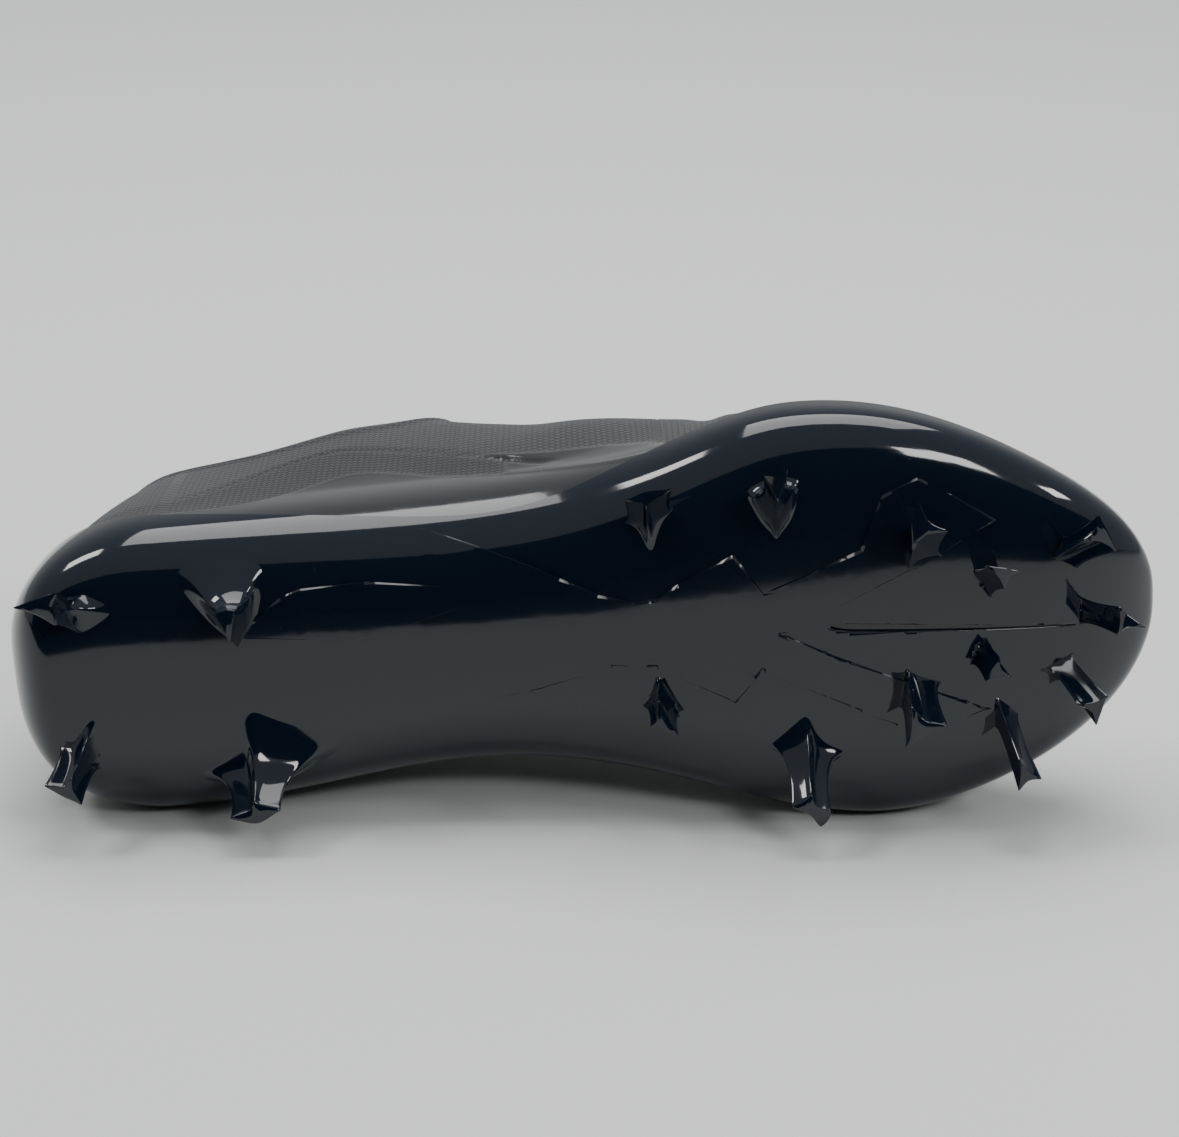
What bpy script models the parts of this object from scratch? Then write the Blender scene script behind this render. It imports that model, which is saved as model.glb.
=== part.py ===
"""A right american football cleat, lying on its medial side with its sole facing -Y.

The shoe is drawn in its own frame: x runs from the heel to the toe, y to the medial side and z up from
the plane of the stud tips. One empty carries every piece and lays the shoe on its side.
"""
import math

import bmesh
import bpy
import numpy as np
from mathutils import Matrix

# Driving sizes, in metres
LENGTH = 0.292
BALL_WIDTH = 0.104
INSTEP_HEIGHT = 0.106
STUD_HEIGHT = 0.012
TOE_SPRING = 0.012
ARCH_RISE = 0.006
UPPER_WALL = 0.0022
SKIN_STEP = 0.0006
PLATE_FLOOR = 0.0030
PLATE_SIDE = 0.0020
GAP = 0.0003
COLLAR_HEIGHT = 0.088
THROAT_HALF = 0.013
THROAT_FRONT = 0.168
COLLAR_FRONT = 0.114
INSOLE_THICKNESS = 0.0035
INSOLE_ROOM = 0.0006
TONGUE_THICKNESS = 0.0035
TONGUE_ROOM = 0.0030
TONGUE_HALF = 0.0205
TONGUE_RISE = 0.020
TONGUE_TUCK = 0.014
EYESTAY_WIDTH = 0.0125
EYESTAY_THICKNESS = 0.0010
EYESTAY_SEAT = 0.0007
LACE_WIDTH = 0.0060
LACE_THICKNESS = 0.0016
LACE_CLEARANCE = 0.0007
EYELET_PAIRS = 5
EYELET_INSET = 0.0065
EYELET_HOLE = 0.0045
PUNCH_DEPTH = 0.014
HEEL_ROUND = 0.037
HEEL_BACK_ROUND = 0.011
HEEL_TOP_ROUND = 0.055
TOE_ROUND = 0.078
TOE_TOP_ROUND = 0.060
TOE_SOLE_ROUND = 0.030
LEAN_START = 0.010
GROOVE_WIDTH = 0.0028
GROOVE_DEPTH = 0.0014

# Sections of the last. Half widths are shares of BALL_WIDTH, wide and crown are shares of
# INSTEP_HEIGHT, arch is a share of ARCH_RISE and spring a share of TOE_SPRING.
SECTIONS = (
    ("at", "lateral", "medial", "wide", "crown", "arch", "spring", "square_low", "square_high", "lean"),
    (0.00, 0.315, 0.365, 0.36, 1.14, 0.00, 0.00, 3.0, 2.1, 0.00),
    (0.08, 0.325, 0.370, 0.38, 1.18, 0.00, 0.00, 3.0, 2.4, 0.05),
    (0.17, 0.335, 0.370, 0.42, 1.21, 0.05, 0.00, 3.0, 2.9, 0.12),
    (0.28, 0.340, 0.340, 0.48, 1.19, 0.45, 0.00, 2.9, 3.3, 0.25),
    (0.38, 0.345, 0.315, 0.52, 1.09, 0.90, 0.00, 2.7, 3.2, 0.28),
    (0.48, 0.370, 0.325, 0.50, 0.98, 0.90, 0.00, 2.7, 2.8, 0.26),
    (0.58, 0.440, 0.370, 0.40, 0.86, 0.40, 0.00, 2.8, 2.6, 0.17),
    (0.67, 0.515, 0.435, 0.33, 0.73, 0.05, 0.03, 3.0, 2.3, 0.04),
    (0.75, 0.515, 0.470, 0.30, 0.62, 0.00, 0.12, 3.0, 2.2, 0.00),
    (0.84, 0.475, 0.465, 0.31, 0.57, 0.00, 0.35, 3.0, 2.2, 0.00),
    (0.92, 0.430, 0.445, 0.33, 0.54, 0.00, 0.68, 3.0, 2.2, 0.00),
    (1.00, 0.405, 0.425, 0.36, 0.52, 0.00, 1.10, 3.0, 2.2, 0.00),
)

# Lines around the shoe by place along it. Heights are shares of INSTEP_HEIGHT for the rim of the plate
# and the top of the skin, and shares of COLLAR_HEIGHT for the collar.
LINES = (
    ("at", "rim_lateral", "rim_medial", "skin_lateral", "skin_medial", "collar_lateral", "collar_medial"),
    (0.00, 0.340, 0.340, 0.62, 0.62, 1.08, 1.08),
    (0.06, 0.330, 0.330, 0.61, 0.61, 1.05, 1.05),
    (0.14, 0.300, 0.300, 0.58, 0.58, 0.97, 0.98),
    (0.22, 0.280, 0.280, 0.56, 0.56, 0.98, 0.99),
    (0.30, 0.280, 0.290, 0.58, 0.56, 1.10, 1.08),
    (0.36, 0.285, 0.300, 0.60, 0.56, 1.21, 1.19),
    (0.48, 0.290, 0.300, 0.58, 0.54, 1.60, 1.60),
    (0.58, 0.310, 0.310, 0.50, 0.50, 2.00, 2.00),
    (0.67, 0.320, 0.310, 0.42, 0.42, 2.00, 2.00),
    (0.80, 0.310, 0.300, 0.38, 0.38, 2.00, 2.00),
    (0.90, 0.310, 0.310, 0.38, 0.38, 2.00, 2.00),
    (1.00, 0.350, 0.350, 0.43, 0.43, 2.00, 2.00),
)

# Studs. Place is a share of LENGTH and, medial positive, of BALL_WIDTH, and tip is the height of its
# end over the standing plane as a share of STUD_HEIGHT. A prong is a direction in degrees from the toe
# towards the medial side with its reach at the tip and at the root, as shares of STUD_HEIGHT.
STUDS = (
    ("name", "at", "side", "tip", "prongs"),
    ("heel_back_lateral", 0.043, -0.225, 0.0, ((180, 0.57, 0.75), (326, 0.56, 0.9), (52, 0.60, 0.9), (2, 0.3, 1.9))),
    ("heel_back_medial", 0.050, 0.245, 0.0, ((198, 0.60, 0.8), (50, 0.50, 0.9), (293, 0.40, 1.4))),
    ("heel_front_lateral", 0.203, -0.150, 0.0, ((90, 0.42, 0.8), (218, 0.35, 2.0), (304, 0.35, 1.5))),
    ("heel_front_medial", 0.211, 0.332, 0.0, ((170, 0.66, 2.2), (354, 0.60, 2.8), (266, 0.35, 2.0))),
    ("waist_lateral", 0.562, -0.393, 0.5, ((181, 0.53, 0.7), (341, 0.72, 0.9), (86, 0.27, 1.3))),
    ("waist_medial", 0.566, 0.166, 0.5, ((265, 0.60, 0.8), (45, 0.58, 0.75), (160, 0.30, 0.6))),
    ("ball_lateral", 0.672, -0.420, 0.0, ((90, 0.35, 0.8), (214, 0.40, 1.2), (327, 0.45, 1.4))),
    ("ball_medial", 0.692, 0.389, 0.0, ((276, 0.35, 1.2), (70, 0.45, 0.7), (190, 0.50, 1.1), (5, 0.40, 1.0))),
    ("fore_lateral", 0.791, -0.305, 0.0, ((264, 0.72, 1.0), (11, 0.70, 1.3), (111, 0.60, 1.0))),
    ("fore_medial", 0.787, 0.194, 0.0, ((250, 0.62, 0.9), (358, 0.70, 1.3), (125, 0.65, 1.1))),
    ("inner_lateral", 0.861, -0.165, 0.5, ((210, 0.42, 0.6), (356, 0.45, 0.85), (83, 0.38, 0.7))),
    ("inner_medial", 0.855, 0.079, 0.5, ((288, 0.36, 0.55), (26, 0.45, 0.8), (135, 0.38, 0.65))),
    ("edge_medial", 0.878, 0.340, 0.2, ((249, 0.40, 1.0), (14, 0.42, 0.8), (116, 0.45, 0.7))),
    ("toe_lateral", 0.945, -0.248, 0.6, ((264, 0.50, 0.75), (159, 0.55, 0.8), (50, 0.60, 1.0))),
    ("toe_medial", 0.941, 0.184, 0.5, ((190, 0.50, 0.85), (313, 0.40, 0.8), (92, 0.50, 0.7))),
    ("toe_tip", 0.967, -0.021, 0.7, ((248, 0.45, 0.7), (21, 0.55, 0.8), (121, 0.40, 0.75))),
)

# The groove along the middle of the forefoot, by place along it, medial positive, from its back end
GROOVE = (
    ("at", "side", "wide"),
    (0.716, -0.032, 1.0),
    (0.770, -0.020, 0.85),
    (0.850, -0.001, 0.50),
    (0.931, 0.017, 0.12),
)

# Grid sizes of the faceted solids
SIDE_STATIONS = 20
TOE_STATIONS = 13
HEEL_STATIONS = 10
RIM_ROWS = 10
MARGIN_ROW = 6
INSOLE_ROWS = (0, 2, 4, 6, 7)
SPINE_HEEL = 0.13
SPINE_TOE = 0.79

# Where the shoe balances, as shares of LENGTH, BALL_WIDTH and INSTEP_HEIGHT
BALANCE = (0.495, -0.007, 0.277)


def column(table, name):
    """The numbers of one named column."""
    index = table[0].index(name)
    return np.array([row[index] for row in table[1:]], float)


def spline(table, name):
    """A smooth curve through one column, with no bending at its ends."""
    x, y = column(table, "at"), column(table, name)
    step = np.diff(x)
    count = len(x)
    system = np.eye(count)
    load = np.zeros(count)
    for i in range(1, count - 1):
        system[i, i - 1:i + 2] = step[i - 1], 2 * (step[i - 1] + step[i]), step[i]
        load[i] = 6 * ((y[i + 1] - y[i]) / step[i] - (y[i] - y[i - 1]) / step[i - 1])
    bend = np.linalg.solve(system, load)

    def curve(at):
        at = np.clip(at, x[0], x[-1])
        i = np.clip(np.searchsorted(x, at) - 1, 0, count - 2)
        a, b = (x[i + 1] - at) / step[i], (at - x[i]) / step[i]
        bent = (a ** 3 - a) * bend[i] + (b ** 3 - b) * bend[i + 1]
        return a * y[i] + b * y[i + 1] + bent * step[i] ** 2 / 6

    return curve


SHAPE = {name: spline(SECTIONS, name) for name in SECTIONS[0][1:]}
LINE = {name: spline(LINES, name) for name in LINES[0][1:]}


def rounded(distance, radius, power):
    """Share of the full size at a distance from a round end."""
    left = np.clip(1 - distance / radius, 0, 1)
    return (1 - left ** power) ** (1 / power)


def leaning(x, above):
    """How far the upper leans to the lateral side at a height above its widest place."""
    above = np.maximum(above, 0)
    return SHAPE["lean"](x / LENGTH) * above * above / (above + LEAN_START)


class Form:
    """A closed form over the sections, grown by side in plan and by under at the sole."""

    def __init__(self, side=0.0, under=0.0, squarer=0.0):
        self.side = side
        self.under = under
        self.squarer = squarer

    def section(self, x):
        """Half widths, height of the widest place, depth, rise and powers of the section at x."""
        at = x / LENGTH
        heel, toe = x + self.side, LENGTH + self.side - x
        plan = rounded(heel, HEEL_ROUND + self.side, 2.2) * rounded(toe, TOE_ROUND + self.side, 2.1)
        back_low = rounded(heel, HEEL_BACK_ROUND + self.side, 2.0)
        back_high = rounded(heel, HEEL_TOP_ROUND + self.side, 2.0)
        front_high = rounded(toe, TOE_TOP_ROUND + self.side, 2.0)
        front_low = rounded(toe, TOE_SOLE_ROUND + self.side, 2.0)
        lateral = (SHAPE["lateral"](at) * BALL_WIDTH + self.side) * plan
        medial = (SHAPE["medial"](at) * BALL_WIDTH + self.side) * plan
        wide = SHAPE["wide"](at) * INSTEP_HEIGHT
        sole = STUD_HEIGHT + PLATE_FLOOR + GAP
        sole = sole + SHAPE["arch"](at) * ARCH_RISE + SHAPE["spring"](at) * TOE_SPRING
        depth = (wide - sole + self.under) * back_low * front_low
        rise = (SHAPE["crown"](at) * INSTEP_HEIGHT + self.side - wide) * back_high * front_high
        return lateral, medial, wide, depth, rise, SHAPE["square_low"](at) + self.squarer, \
            SHAPE["square_high"](at)

    def level(self, points):
        """Below one inside the form and above one outside it."""
        x, y, z = points[..., 0], points[..., 1], points[..., 2]
        edge = 1e-6 - self.side
        x = np.clip(x, edge, LENGTH - edge)
        lateral, medial, wide, depth, rise, low, high = self.section(x)
        y = y + leaning(x, z - wide)
        across = np.abs(y) / np.maximum(np.where(y > 0, medial, lateral), 1e-9)
        above = z > wide
        up = np.abs(z - wide) / np.maximum(np.where(above, rise, depth), 1e-9)
        power = np.where(above, high, low)
        return across ** power + up ** power

    def holds(self, points):
        """True where a point is inside the form."""
        x = points[..., 0]
        return (self.level(points) < 1) & (x > -self.side) & (x < LENGTH + self.side)

    def sunk(self, points, depth, step=0.0002):
        """Points on the form moved in, square to it."""
        slope = np.stack([self.level(points + way) - self.level(points - way)
                          for way in np.eye(3) * step], -1)
        return points - depth * slope / np.linalg.norm(slope, axis=-1, keepdims=True)

    def reach(self, start, way, far=0.25, halvings=34):
        """Where a ray from inside the form leaves it."""
        near = np.zeros(way.shape[:-1])
        off = np.full(way.shape[:-1], far)
        for _ in range(halvings):
            middle = (near + off) / 2
            inside = self.holds(start + way * middle[..., None])
            near = np.where(inside, middle, near)
            off = np.where(inside, off, middle)
        return start + way * near[..., None]


LAST = Form()
SKIN = Form(side=SKIN_STEP, under=SKIN_STEP)
FOOTBED = Form(side=-UPPER_WALL - INSOLE_ROOM, under=-UPPER_WALL - INSOLE_ROOM)
EYESTAY_INNER = Form(side=EYESTAY_SEAT)
EYESTAY_OUTER = Form(side=EYESTAY_SEAT + EYESTAY_THICKNESS)
TONGUE_OUTER = Form(side=-UPPER_WALL - TONGUE_ROOM)
TONGUE_INNER = Form(side=-UPPER_WALL - TONGUE_ROOM - TONGUE_THICKNESS)
PLATE_INNER = Form(side=GAP + SKIN_STEP, under=GAP + SKIN_STEP)
PLATE_OUTER = Form(side=GAP + SKIN_STEP + PLATE_SIDE, under=GAP + SKIN_STEP + PLATE_FLOOR, squarer=0.8)
PLATE_MIDDLE = Form(PLATE_OUTER.side - PLATE_SIDE / 2, PLATE_OUTER.under - PLATE_FLOOR / 2, PLATE_OUTER.squarer)


def stations():
    """Spine points and level directions, once around the shoe from the lateral heel."""
    heel, toe = SPINE_HEEL * LENGTH, SPINE_TOE * LENGTH
    along = heel + (toe - heel) * np.arange(SIDE_STATIONS) / SIDE_STATIONS
    front = -math.pi / 2 + math.pi * np.arange(TOE_STATIONS) / TOE_STATIONS
    back = math.pi / 2 + math.pi * np.arange(HEEL_STATIONS) / HEEL_STATIONS
    x = np.concatenate([along[1:], np.full(TOE_STATIONS, toe), (heel + toe - along)[1:],
                        np.full(HEEL_STATIONS, heel)])
    turn = np.concatenate([np.full(SIDE_STATIONS - 1, -math.pi / 2), front,
                           np.full(SIDE_STATIONS - 1, math.pi / 2), back])
    spine = np.stack([x, 0 * x, SHAPE["wide"](x / LENGTH) * INSTEP_HEIGHT], -1)
    way = np.stack([np.cos(turn), np.sin(turn), 0 * turn], -1)
    way[np.abs(way) < 1e-12] = 0
    return spine, way


def meridians(form, count=241):
    """Dense curves over the form, one for each station, from under the spine to over it."""
    spine, way = stations()
    tilt = np.linspace(-math.pi / 2, math.pi / 2, count)
    level = np.cos(tilt)
    level[0] = level[-1] = 0
    rays = way[:, None, :] * level[None, :, None]
    rays[..., 2] += np.sin(tilt)[None, :]
    return form.reach(spine[:, None, :] * np.ones((1, count, 1)), rays)


def crossing(values):
    """Place, in steps along each row, where its values first rise through zero."""
    over = values > 0
    index = np.clip(np.argmax(over, axis=1), 1, values.shape[1] - 1)
    row = np.arange(len(values))
    before, after = values[row, index - 1], values[row, index]
    place = index - 1 + np.clip(-before / np.where(after > before, after - before, 1.0), 0, 1)
    return np.where(over.any(axis=1), place, values.shape[1] - 1.0)


def places(curves, first, last, shares):
    """Places along each curve between two others, at shares of the length between them."""
    result = []
    for curve, start, stop in zip(curves, first, last):
        steps = np.linalg.norm(np.diff(curve, axis=0), axis=1)
        run = np.concatenate([[0], np.cumsum(steps)])
        order = np.arange(len(curve))
        ends = np.interp([start, stop], order, run)
        result.append(np.interp(ends[0] + (ends[1] - ends[0]) * np.asarray(shares), run, order))
    return np.array(result)


def sample(curves, at):
    """Points of each curve at the given places."""
    order = np.arange(curves.shape[1])
    return np.array([[np.interp(row, order, curve[:, k]) for k in range(3)]
                     for curve, row in zip(curves, at)]).transpose(0, 2, 1)


def line_height(name, points, size):
    """Height of a named line beside each point, the lateral and medial sides blended at the ends."""
    at = np.clip(points[..., 0] / LENGTH, 0, 1)
    side = 0.5 + 0.5 * np.tanh(points[..., 1] / (0.1 * BALL_WIDTH))
    lateral, medial = LINE[name + "_lateral"](at), LINE[name + "_medial"](at)
    return (lateral + (medial - lateral) * side) * size


def grid_faces(rows, columns, closed=True):
    """Pairs of triangles over a grid of points, cut the same way on every form."""
    faces = []
    for i in range(rows if closed else rows - 1):
        for j in range(columns - 1):
            a, b = i * columns + j, (i + 1) % rows * columns + j
            faces += [(a, a + 1, b + 1), (a, b + 1, b)]
    return faces


def thick_sheet(name, outer, inner, faces, finish):
    """A closed piece between two matching faces, walled along every free edge."""
    outer, inner = outer.reshape(-1, 3), inner.reshape(-1, 3)
    _, first, same = np.unique(np.round(outer, 6) + 0.0, axis=0, return_index=True, return_inverse=True)
    weld = first[same.ravel()]
    kept = []
    for face in faces:
        ring = [int(weld[k]) for k in face]
        ring = [k for i, k in enumerate(ring) if k != ring[i - 1]]
        if len(ring) > 2:
            kept.append(tuple(ring))
    sides = {(ring[i - 1], ring[i]) for ring in kept for i in range(len(ring))}
    count = len(outer)
    walls = [(b, a, a + count, b + count) for a, b in sorted(sides) if (b, a) not in sides]
    back = [tuple(k + count for k in reversed(ring)) for ring in kept]
    return add_piece(name, np.concatenate([outer, inner]), kept + walls + back, finish)


def material(name, colour, roughness, metallic=0.0):
    """A plain finish."""
    finish = bpy.data.materials.new(name)
    finish.use_nodes = True
    shader = finish.node_tree.nodes["Principled BSDF"]
    shader.inputs["Base Color"].default_value = (*colour, 1)
    shader.inputs["Roughness"].default_value = roughness
    shader.inputs["Metallic"].default_value = metallic
    return finish


def add_piece(name, points, faces, finish):
    """A named object of welded faces that point outwards."""
    mesh = bpy.data.meshes.new(name)
    mesh.from_pydata([tuple(point) for point in np.asarray(points).reshape(-1, 3)], [], faces)
    work = bmesh.new()
    work.from_mesh(mesh)
    bmesh.ops.delete(work, geom=[vert for vert in work.verts if not vert.link_faces], context="VERTS")
    bmesh.ops.recalc_face_normals(work, faces=work.faces)
    work.to_mesh(mesh)
    work.free()
    mesh.shade_smooth()
    mesh.set_sharp_from_angle(angle=math.radians(40))
    piece = bpy.data.objects.new(name, mesh)
    piece.data.materials.append(finish)
    bpy.context.collection.objects.link(piece)
    return piece


def boolean(piece, cutters, operation):
    """Cut or join hidden helpers into a piece."""
    for cutter in cutters:
        cutter.hide_render = True
        cutter.display_type = "WIRE"
        change = piece.modifiers.new(cutter.name, "BOOLEAN")
        change.operation = operation
        change.solver = "EXACT"
        change.object = cutter


def rim_places():
    """Places of the rows that plate and upper share, from the middle line out and up to the rim."""
    curves = meridians(LAST)
    rim = crossing(curves[..., 2] - line_height("rim", curves, INSTEP_HEIGHT))
    return places(curves, 0 * rim, rim, np.linspace(0, 1, RIM_ROWS + 1))


def plate_rows():
    """Outer and inner points of the plate, from its middle line out and up to its rim."""
    at = rim_places()
    return [sample(meridians(form), at) for form in (PLATE_OUTER, PLATE_INNER)]


def stud_ring(prongs, column_index, size, turns, waist):
    """Radii of a stud's star outline at the given turns."""
    radius = np.full(len(turns), waist)
    for prong in prongs:
        away = np.angle(np.exp(1j * (turns - math.radians(prong[0]))))
        lobe = np.exp(-(np.abs(away) / 0.42) ** 1.5)
        radius = np.maximum(radius, waist + (prong[column_index] * size - waist) * lobe)
    return radius


def stud(row, finish):
    """One stud: a star of blades that flares into the plate, with a flat tip."""
    name, at, side, tip_height, prongs = row
    centre = np.array([at * LENGTH, side * BALL_WIDTH, tip_height * STUD_HEIGHT])
    turns = np.sort(np.radians([(prong[0] + offset) % 360 for prong in prongs
                                for offset in (-30, -10, 10, 30)]))
    tip = stud_ring(prongs, 1, STUD_HEIGHT, turns, 0.14 * STUD_HEIGHT)
    root = stud_ring(prongs, 2, STUD_HEIGHT, turns, 0.55 * STUD_HEIGHT)
    way = np.stack([np.cos(turns), np.sin(turns), 0 * turns], -1)
    heart = np.array([np.clip(centre[0], SPINE_HEEL * LENGTH, SPINE_TOE * LENGTH), 0.3 * centre[1],
                      SHAPE["wide"](at) * INSTEP_HEIGHT])
    heart[0] += 0.7 * (centre[0] - heart[0])
    ray = centre + way * root[:, None] - heart
    ray = ray / np.linalg.norm(ray, axis=-1, keepdims=True)
    foot = PLATE_MIDDLE.reach(np.broadcast_to(heart, ray.shape), ray)
    top = centre + way * tip[:, None]
    rings = [foot]
    for share, lift in ((0.45, 0.22), (0.78, 0.58)):
        ring = foot + (top - foot) * share
        ring[:, 2] = foot[:, 2] + (top[:, 2] - foot[:, 2]) * lift
        rings.append(ring)
    rings.append(top)
    count = len(turns)
    faces = [(k * count + i, k * count + (i + 1) % count, (k + 1) * count + (i + 1) % count, (k + 1) * count + i)
             for k in range(len(rings) - 1) for i in range(count)]
    faces.append(tuple(range(count)))
    faces.append(tuple(range(3 * count, 4 * count)))
    return add_piece("stud_" + name, np.concatenate(rings), faces, finish)


def groove(finish):
    """A tapered cutter along the middle of the forefoot."""
    at, side, share = (column(GROOVE, name) for name in ("at", "side", "wide"))
    start = np.stack([at * LENGTH, side * BALL_WIDTH, SHAPE["wide"](at) * INSTEP_HEIGHT], -1)
    floor = PLATE_OUTER.reach(start, np.broadcast_to([0.0, 0, -1], start.shape))
    across = np.array([0, GROOVE_WIDTH / 2, 0]) * share[:, None]
    up = np.array([0, 0, GROOVE_DEPTH])
    rows = np.stack([floor - across * 2 - up, floor + across * 2 - up, floor + up * share[:, None]], 1)
    faces = [(3 * i + k, 3 * i + (k + 1) % 3, 3 * i + 3 + (k + 1) % 3, 3 * i + 3 + k)
             for i in range(len(at) - 1) for k in range(3)]
    end = 3 * len(at)
    faces += [(0, 1, 2), (end - 3, end - 2, end - 1)]
    return add_piece("cut_groove", rows, faces, finish)


def outsole_plate(finish):
    """The plate that cups the foot, with its studs moulded on."""
    outer, inner = plate_rows()
    piece = thick_sheet("outsole_plate", outer, inner, grid_faces(*outer.shape[:2]), finish)
    boolean(piece, [groove(finish)], "DIFFERENCE")
    boolean(piece, [stud(row, finish) for row in STUDS[1:]], "UNION")
    return piece


def top_places(curves):
    """Places where the upper ends: the collar, the throat or the middle line of the vamp."""
    x, y, z = curves[..., 0], curves[..., 1], curves[..., 2]
    wide = SHAPE["wide"](x / LENGTH) * INSTEP_HEIGHT
    collar = crossing(z - line_height("collar", curves, COLLAR_HEIGHT))
    past = np.maximum(x - (THROAT_FRONT - THROAT_HALF), 0)
    aside = y + leaning(x, z - wide)
    open_front = (z > wide) & (x > COLLAR_FRONT) & (x < THROAT_FRONT)
    throat = crossing(np.where(open_front, THROAT_HALF - np.hypot(past, aside), -1.0))
    return np.minimum(collar, throat)


def upper(finish, holes):
    """The hollow upper, open at the collar, at the throat and underneath."""
    curves = meridians(LAST)
    skin = crossing(curves[..., 2] - line_height("skin", curves, INSTEP_HEIGHT))
    hidden = rim_places()[:, MARGIN_ROW:]
    covered = np.concatenate([hidden, places(curves, hidden[:, -1], skin, (0.5, 1))], axis=1)
    shares = np.concatenate([[0.03], np.linspace(0.17, 1, 6)])
    bare = places(curves, skin, top_places(curves), shares)
    outer = np.concatenate([sample(meridians(SKIN), covered), sample(curves, bare)], axis=1)
    inner = LAST.sunk(sample(curves, np.concatenate([covered, bare], axis=1)), UPPER_WALL)
    piece = thick_sheet("upper", outer, inner, grid_faces(*outer.shape[:2]), finish)
    boolean(piece, holes, "DIFFERENCE")
    return piece


def insole(finish):
    """The sock liner on the lasting margin."""
    under = sample(meridians(FOOTBED), rim_places()[:, INSOLE_ROWS])
    over = under + np.array([0, 0, INSOLE_THICKNESS])
    over[:, -1, :2] += 0.35 * (over[:, -2, :2] - over[:, -1, :2])
    return thick_sheet("insole", under, over, grid_faces(*under.shape[:2]), finish)


def arched(form, x, y):
    """A point of the form over the foot, y measured from its leaning middle."""
    lateral, medial, wide, _, rise, _, power = form.section(x)
    up = rise * (1 - (np.abs(y) / np.where(y > 0, medial, lateral)) ** power) ** (1 / power)
    return np.stack([x, y - leaning(x, up), wide + up], -1)


def tongue(finish):
    """The padded tongue under the throat, rising past the collar."""
    x = np.linspace(THROAT_FRONT + TONGUE_TUCK, COLLAR_FRONT - TONGUE_RISE, 12)
    across = np.linspace(-1, 1, 11)
    round_end = np.sqrt(1 - np.clip((np.arange(12) - 9.5) / 2.6, 0, 1) ** 2)
    x, y = np.meshgrid(x, across * TONGUE_HALF, indexing="ij")
    y = y * round_end[:, None]
    return thick_sheet("tongue", arched(TONGUE_OUTER, x, y), arched(TONGUE_INNER, x, y),
                       grid_faces(12, 11, closed=False), finish)


def eyelet_places():
    """Middles of the eyelets, from the front pair to the top pair, lateral then medial."""
    run = np.linspace(THROAT_FRONT - 0.006, COLLAR_FRONT + 0.009, EYELET_PAIRS)
    reach = THROAT_HALF + EYELET_INSET
    return [(x, side * reach) for x in run for side in (-1, 1)]


def seat(form, x, y):
    """Frame whose z is square to the form over the foot at a place."""
    step = 0.001
    middle = arched(form, np.array(x), np.array(y))
    ahead = arched(form, np.array(x + step), np.array(y)) - middle
    beside = arched(form, np.array(x), np.array(y + step)) - middle
    up = np.cross(ahead, beside)
    up = up / np.linalg.norm(up)
    ahead = ahead / np.linalg.norm(ahead)
    beside = np.cross(up, ahead)
    frame = Matrix.Identity(4)
    for k, axis in enumerate((ahead, beside, up, middle)):
        for i in range(3):
            frame[i][k] = axis[i]
    return frame


def punches(finish):
    """Round cutters through the eyestay and the upper at each eyelet."""
    cutters = []
    for number, (x, y) in enumerate(eyelet_places()):
        bpy.ops.mesh.primitive_cylinder_add(vertices=8, radius=EYELET_HOLE / 2, depth=PUNCH_DEPTH)
        cutter = bpy.context.object
        cutter.name = f"punch_{number + 1:02d}"
        cutter.matrix_world = seat(LAST, x, y)
        cutters.append(cutter)
    return cutters


def eyestay(finish, holes):
    """The band around the throat that carries the eyelets."""
    front = THROAT_FRONT - THROAT_HALF
    side_steps, arc_steps, across_steps = 7, 6, 5
    straight = np.linspace(COLLAR_FRONT + GAP, front, side_steps, endpoint=False)
    turn = np.linspace(-math.pi / 2, math.pi / 2, arc_steps + 1)
    run = np.concatenate([straight, np.full(arc_steps + 1, front), straight[::-1]])
    heading = np.concatenate([np.full(side_steps, -math.pi / 2), turn, np.full(side_steps, math.pi / 2)])
    reach = np.linspace(THROAT_HALF + GAP, THROAT_HALF + EYESTAY_WIDTH, across_steps)
    x = run[:, None] + reach * np.cos(heading)[:, None]
    y = reach * np.sin(heading)[:, None]
    piece = thick_sheet("eyestay", arched(EYESTAY_OUTER, x, y), arched(EYESTAY_INNER, x, y),
                        grid_faces(len(run), across_steps, closed=False), finish)
    boolean(piece, holes, "DIFFERENCE")
    return piece


def lace_bar(name, start, stop, lift, finish):
    """A flat stretch of lace from one eyelet over the throat to another."""
    over = Form(side=EYESTAY_SEAT + EYESTAY_THICKNESS + LACE_CLEARANCE)
    way = np.array([stop[0] - start[0], stop[1] - start[1], 0.0])
    points = []
    path = np.linspace(-0.06, 1.06, 7)
    for share in path:
        frame = seat(over, start[0] + way[0] * share, start[1] + way[1] * share)
        up = np.array(frame.col[2][:3])
        side = np.cross(up, way)
        side = side / np.linalg.norm(side) * LACE_WIDTH / 2
        foot = np.array(frame.col[3][:3]) + up * lift * LACE_THICKNESS
        top = foot + up * LACE_THICKNESS
        points += [foot + side, top + side, top - side, foot - side]
    faces = [(4 * i + k, 4 * i + (k + 1) % 4, 4 * i + 4 + (k + 1) % 4, 4 * i + 4 + k)
             for i in range(len(path) - 1) for k in range(4)]
    end = 4 * len(path) - 4
    faces += [(3, 2, 1, 0), (end, end + 1, end + 2, end + 3)]
    return add_piece(name, points, faces, finish)


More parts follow.
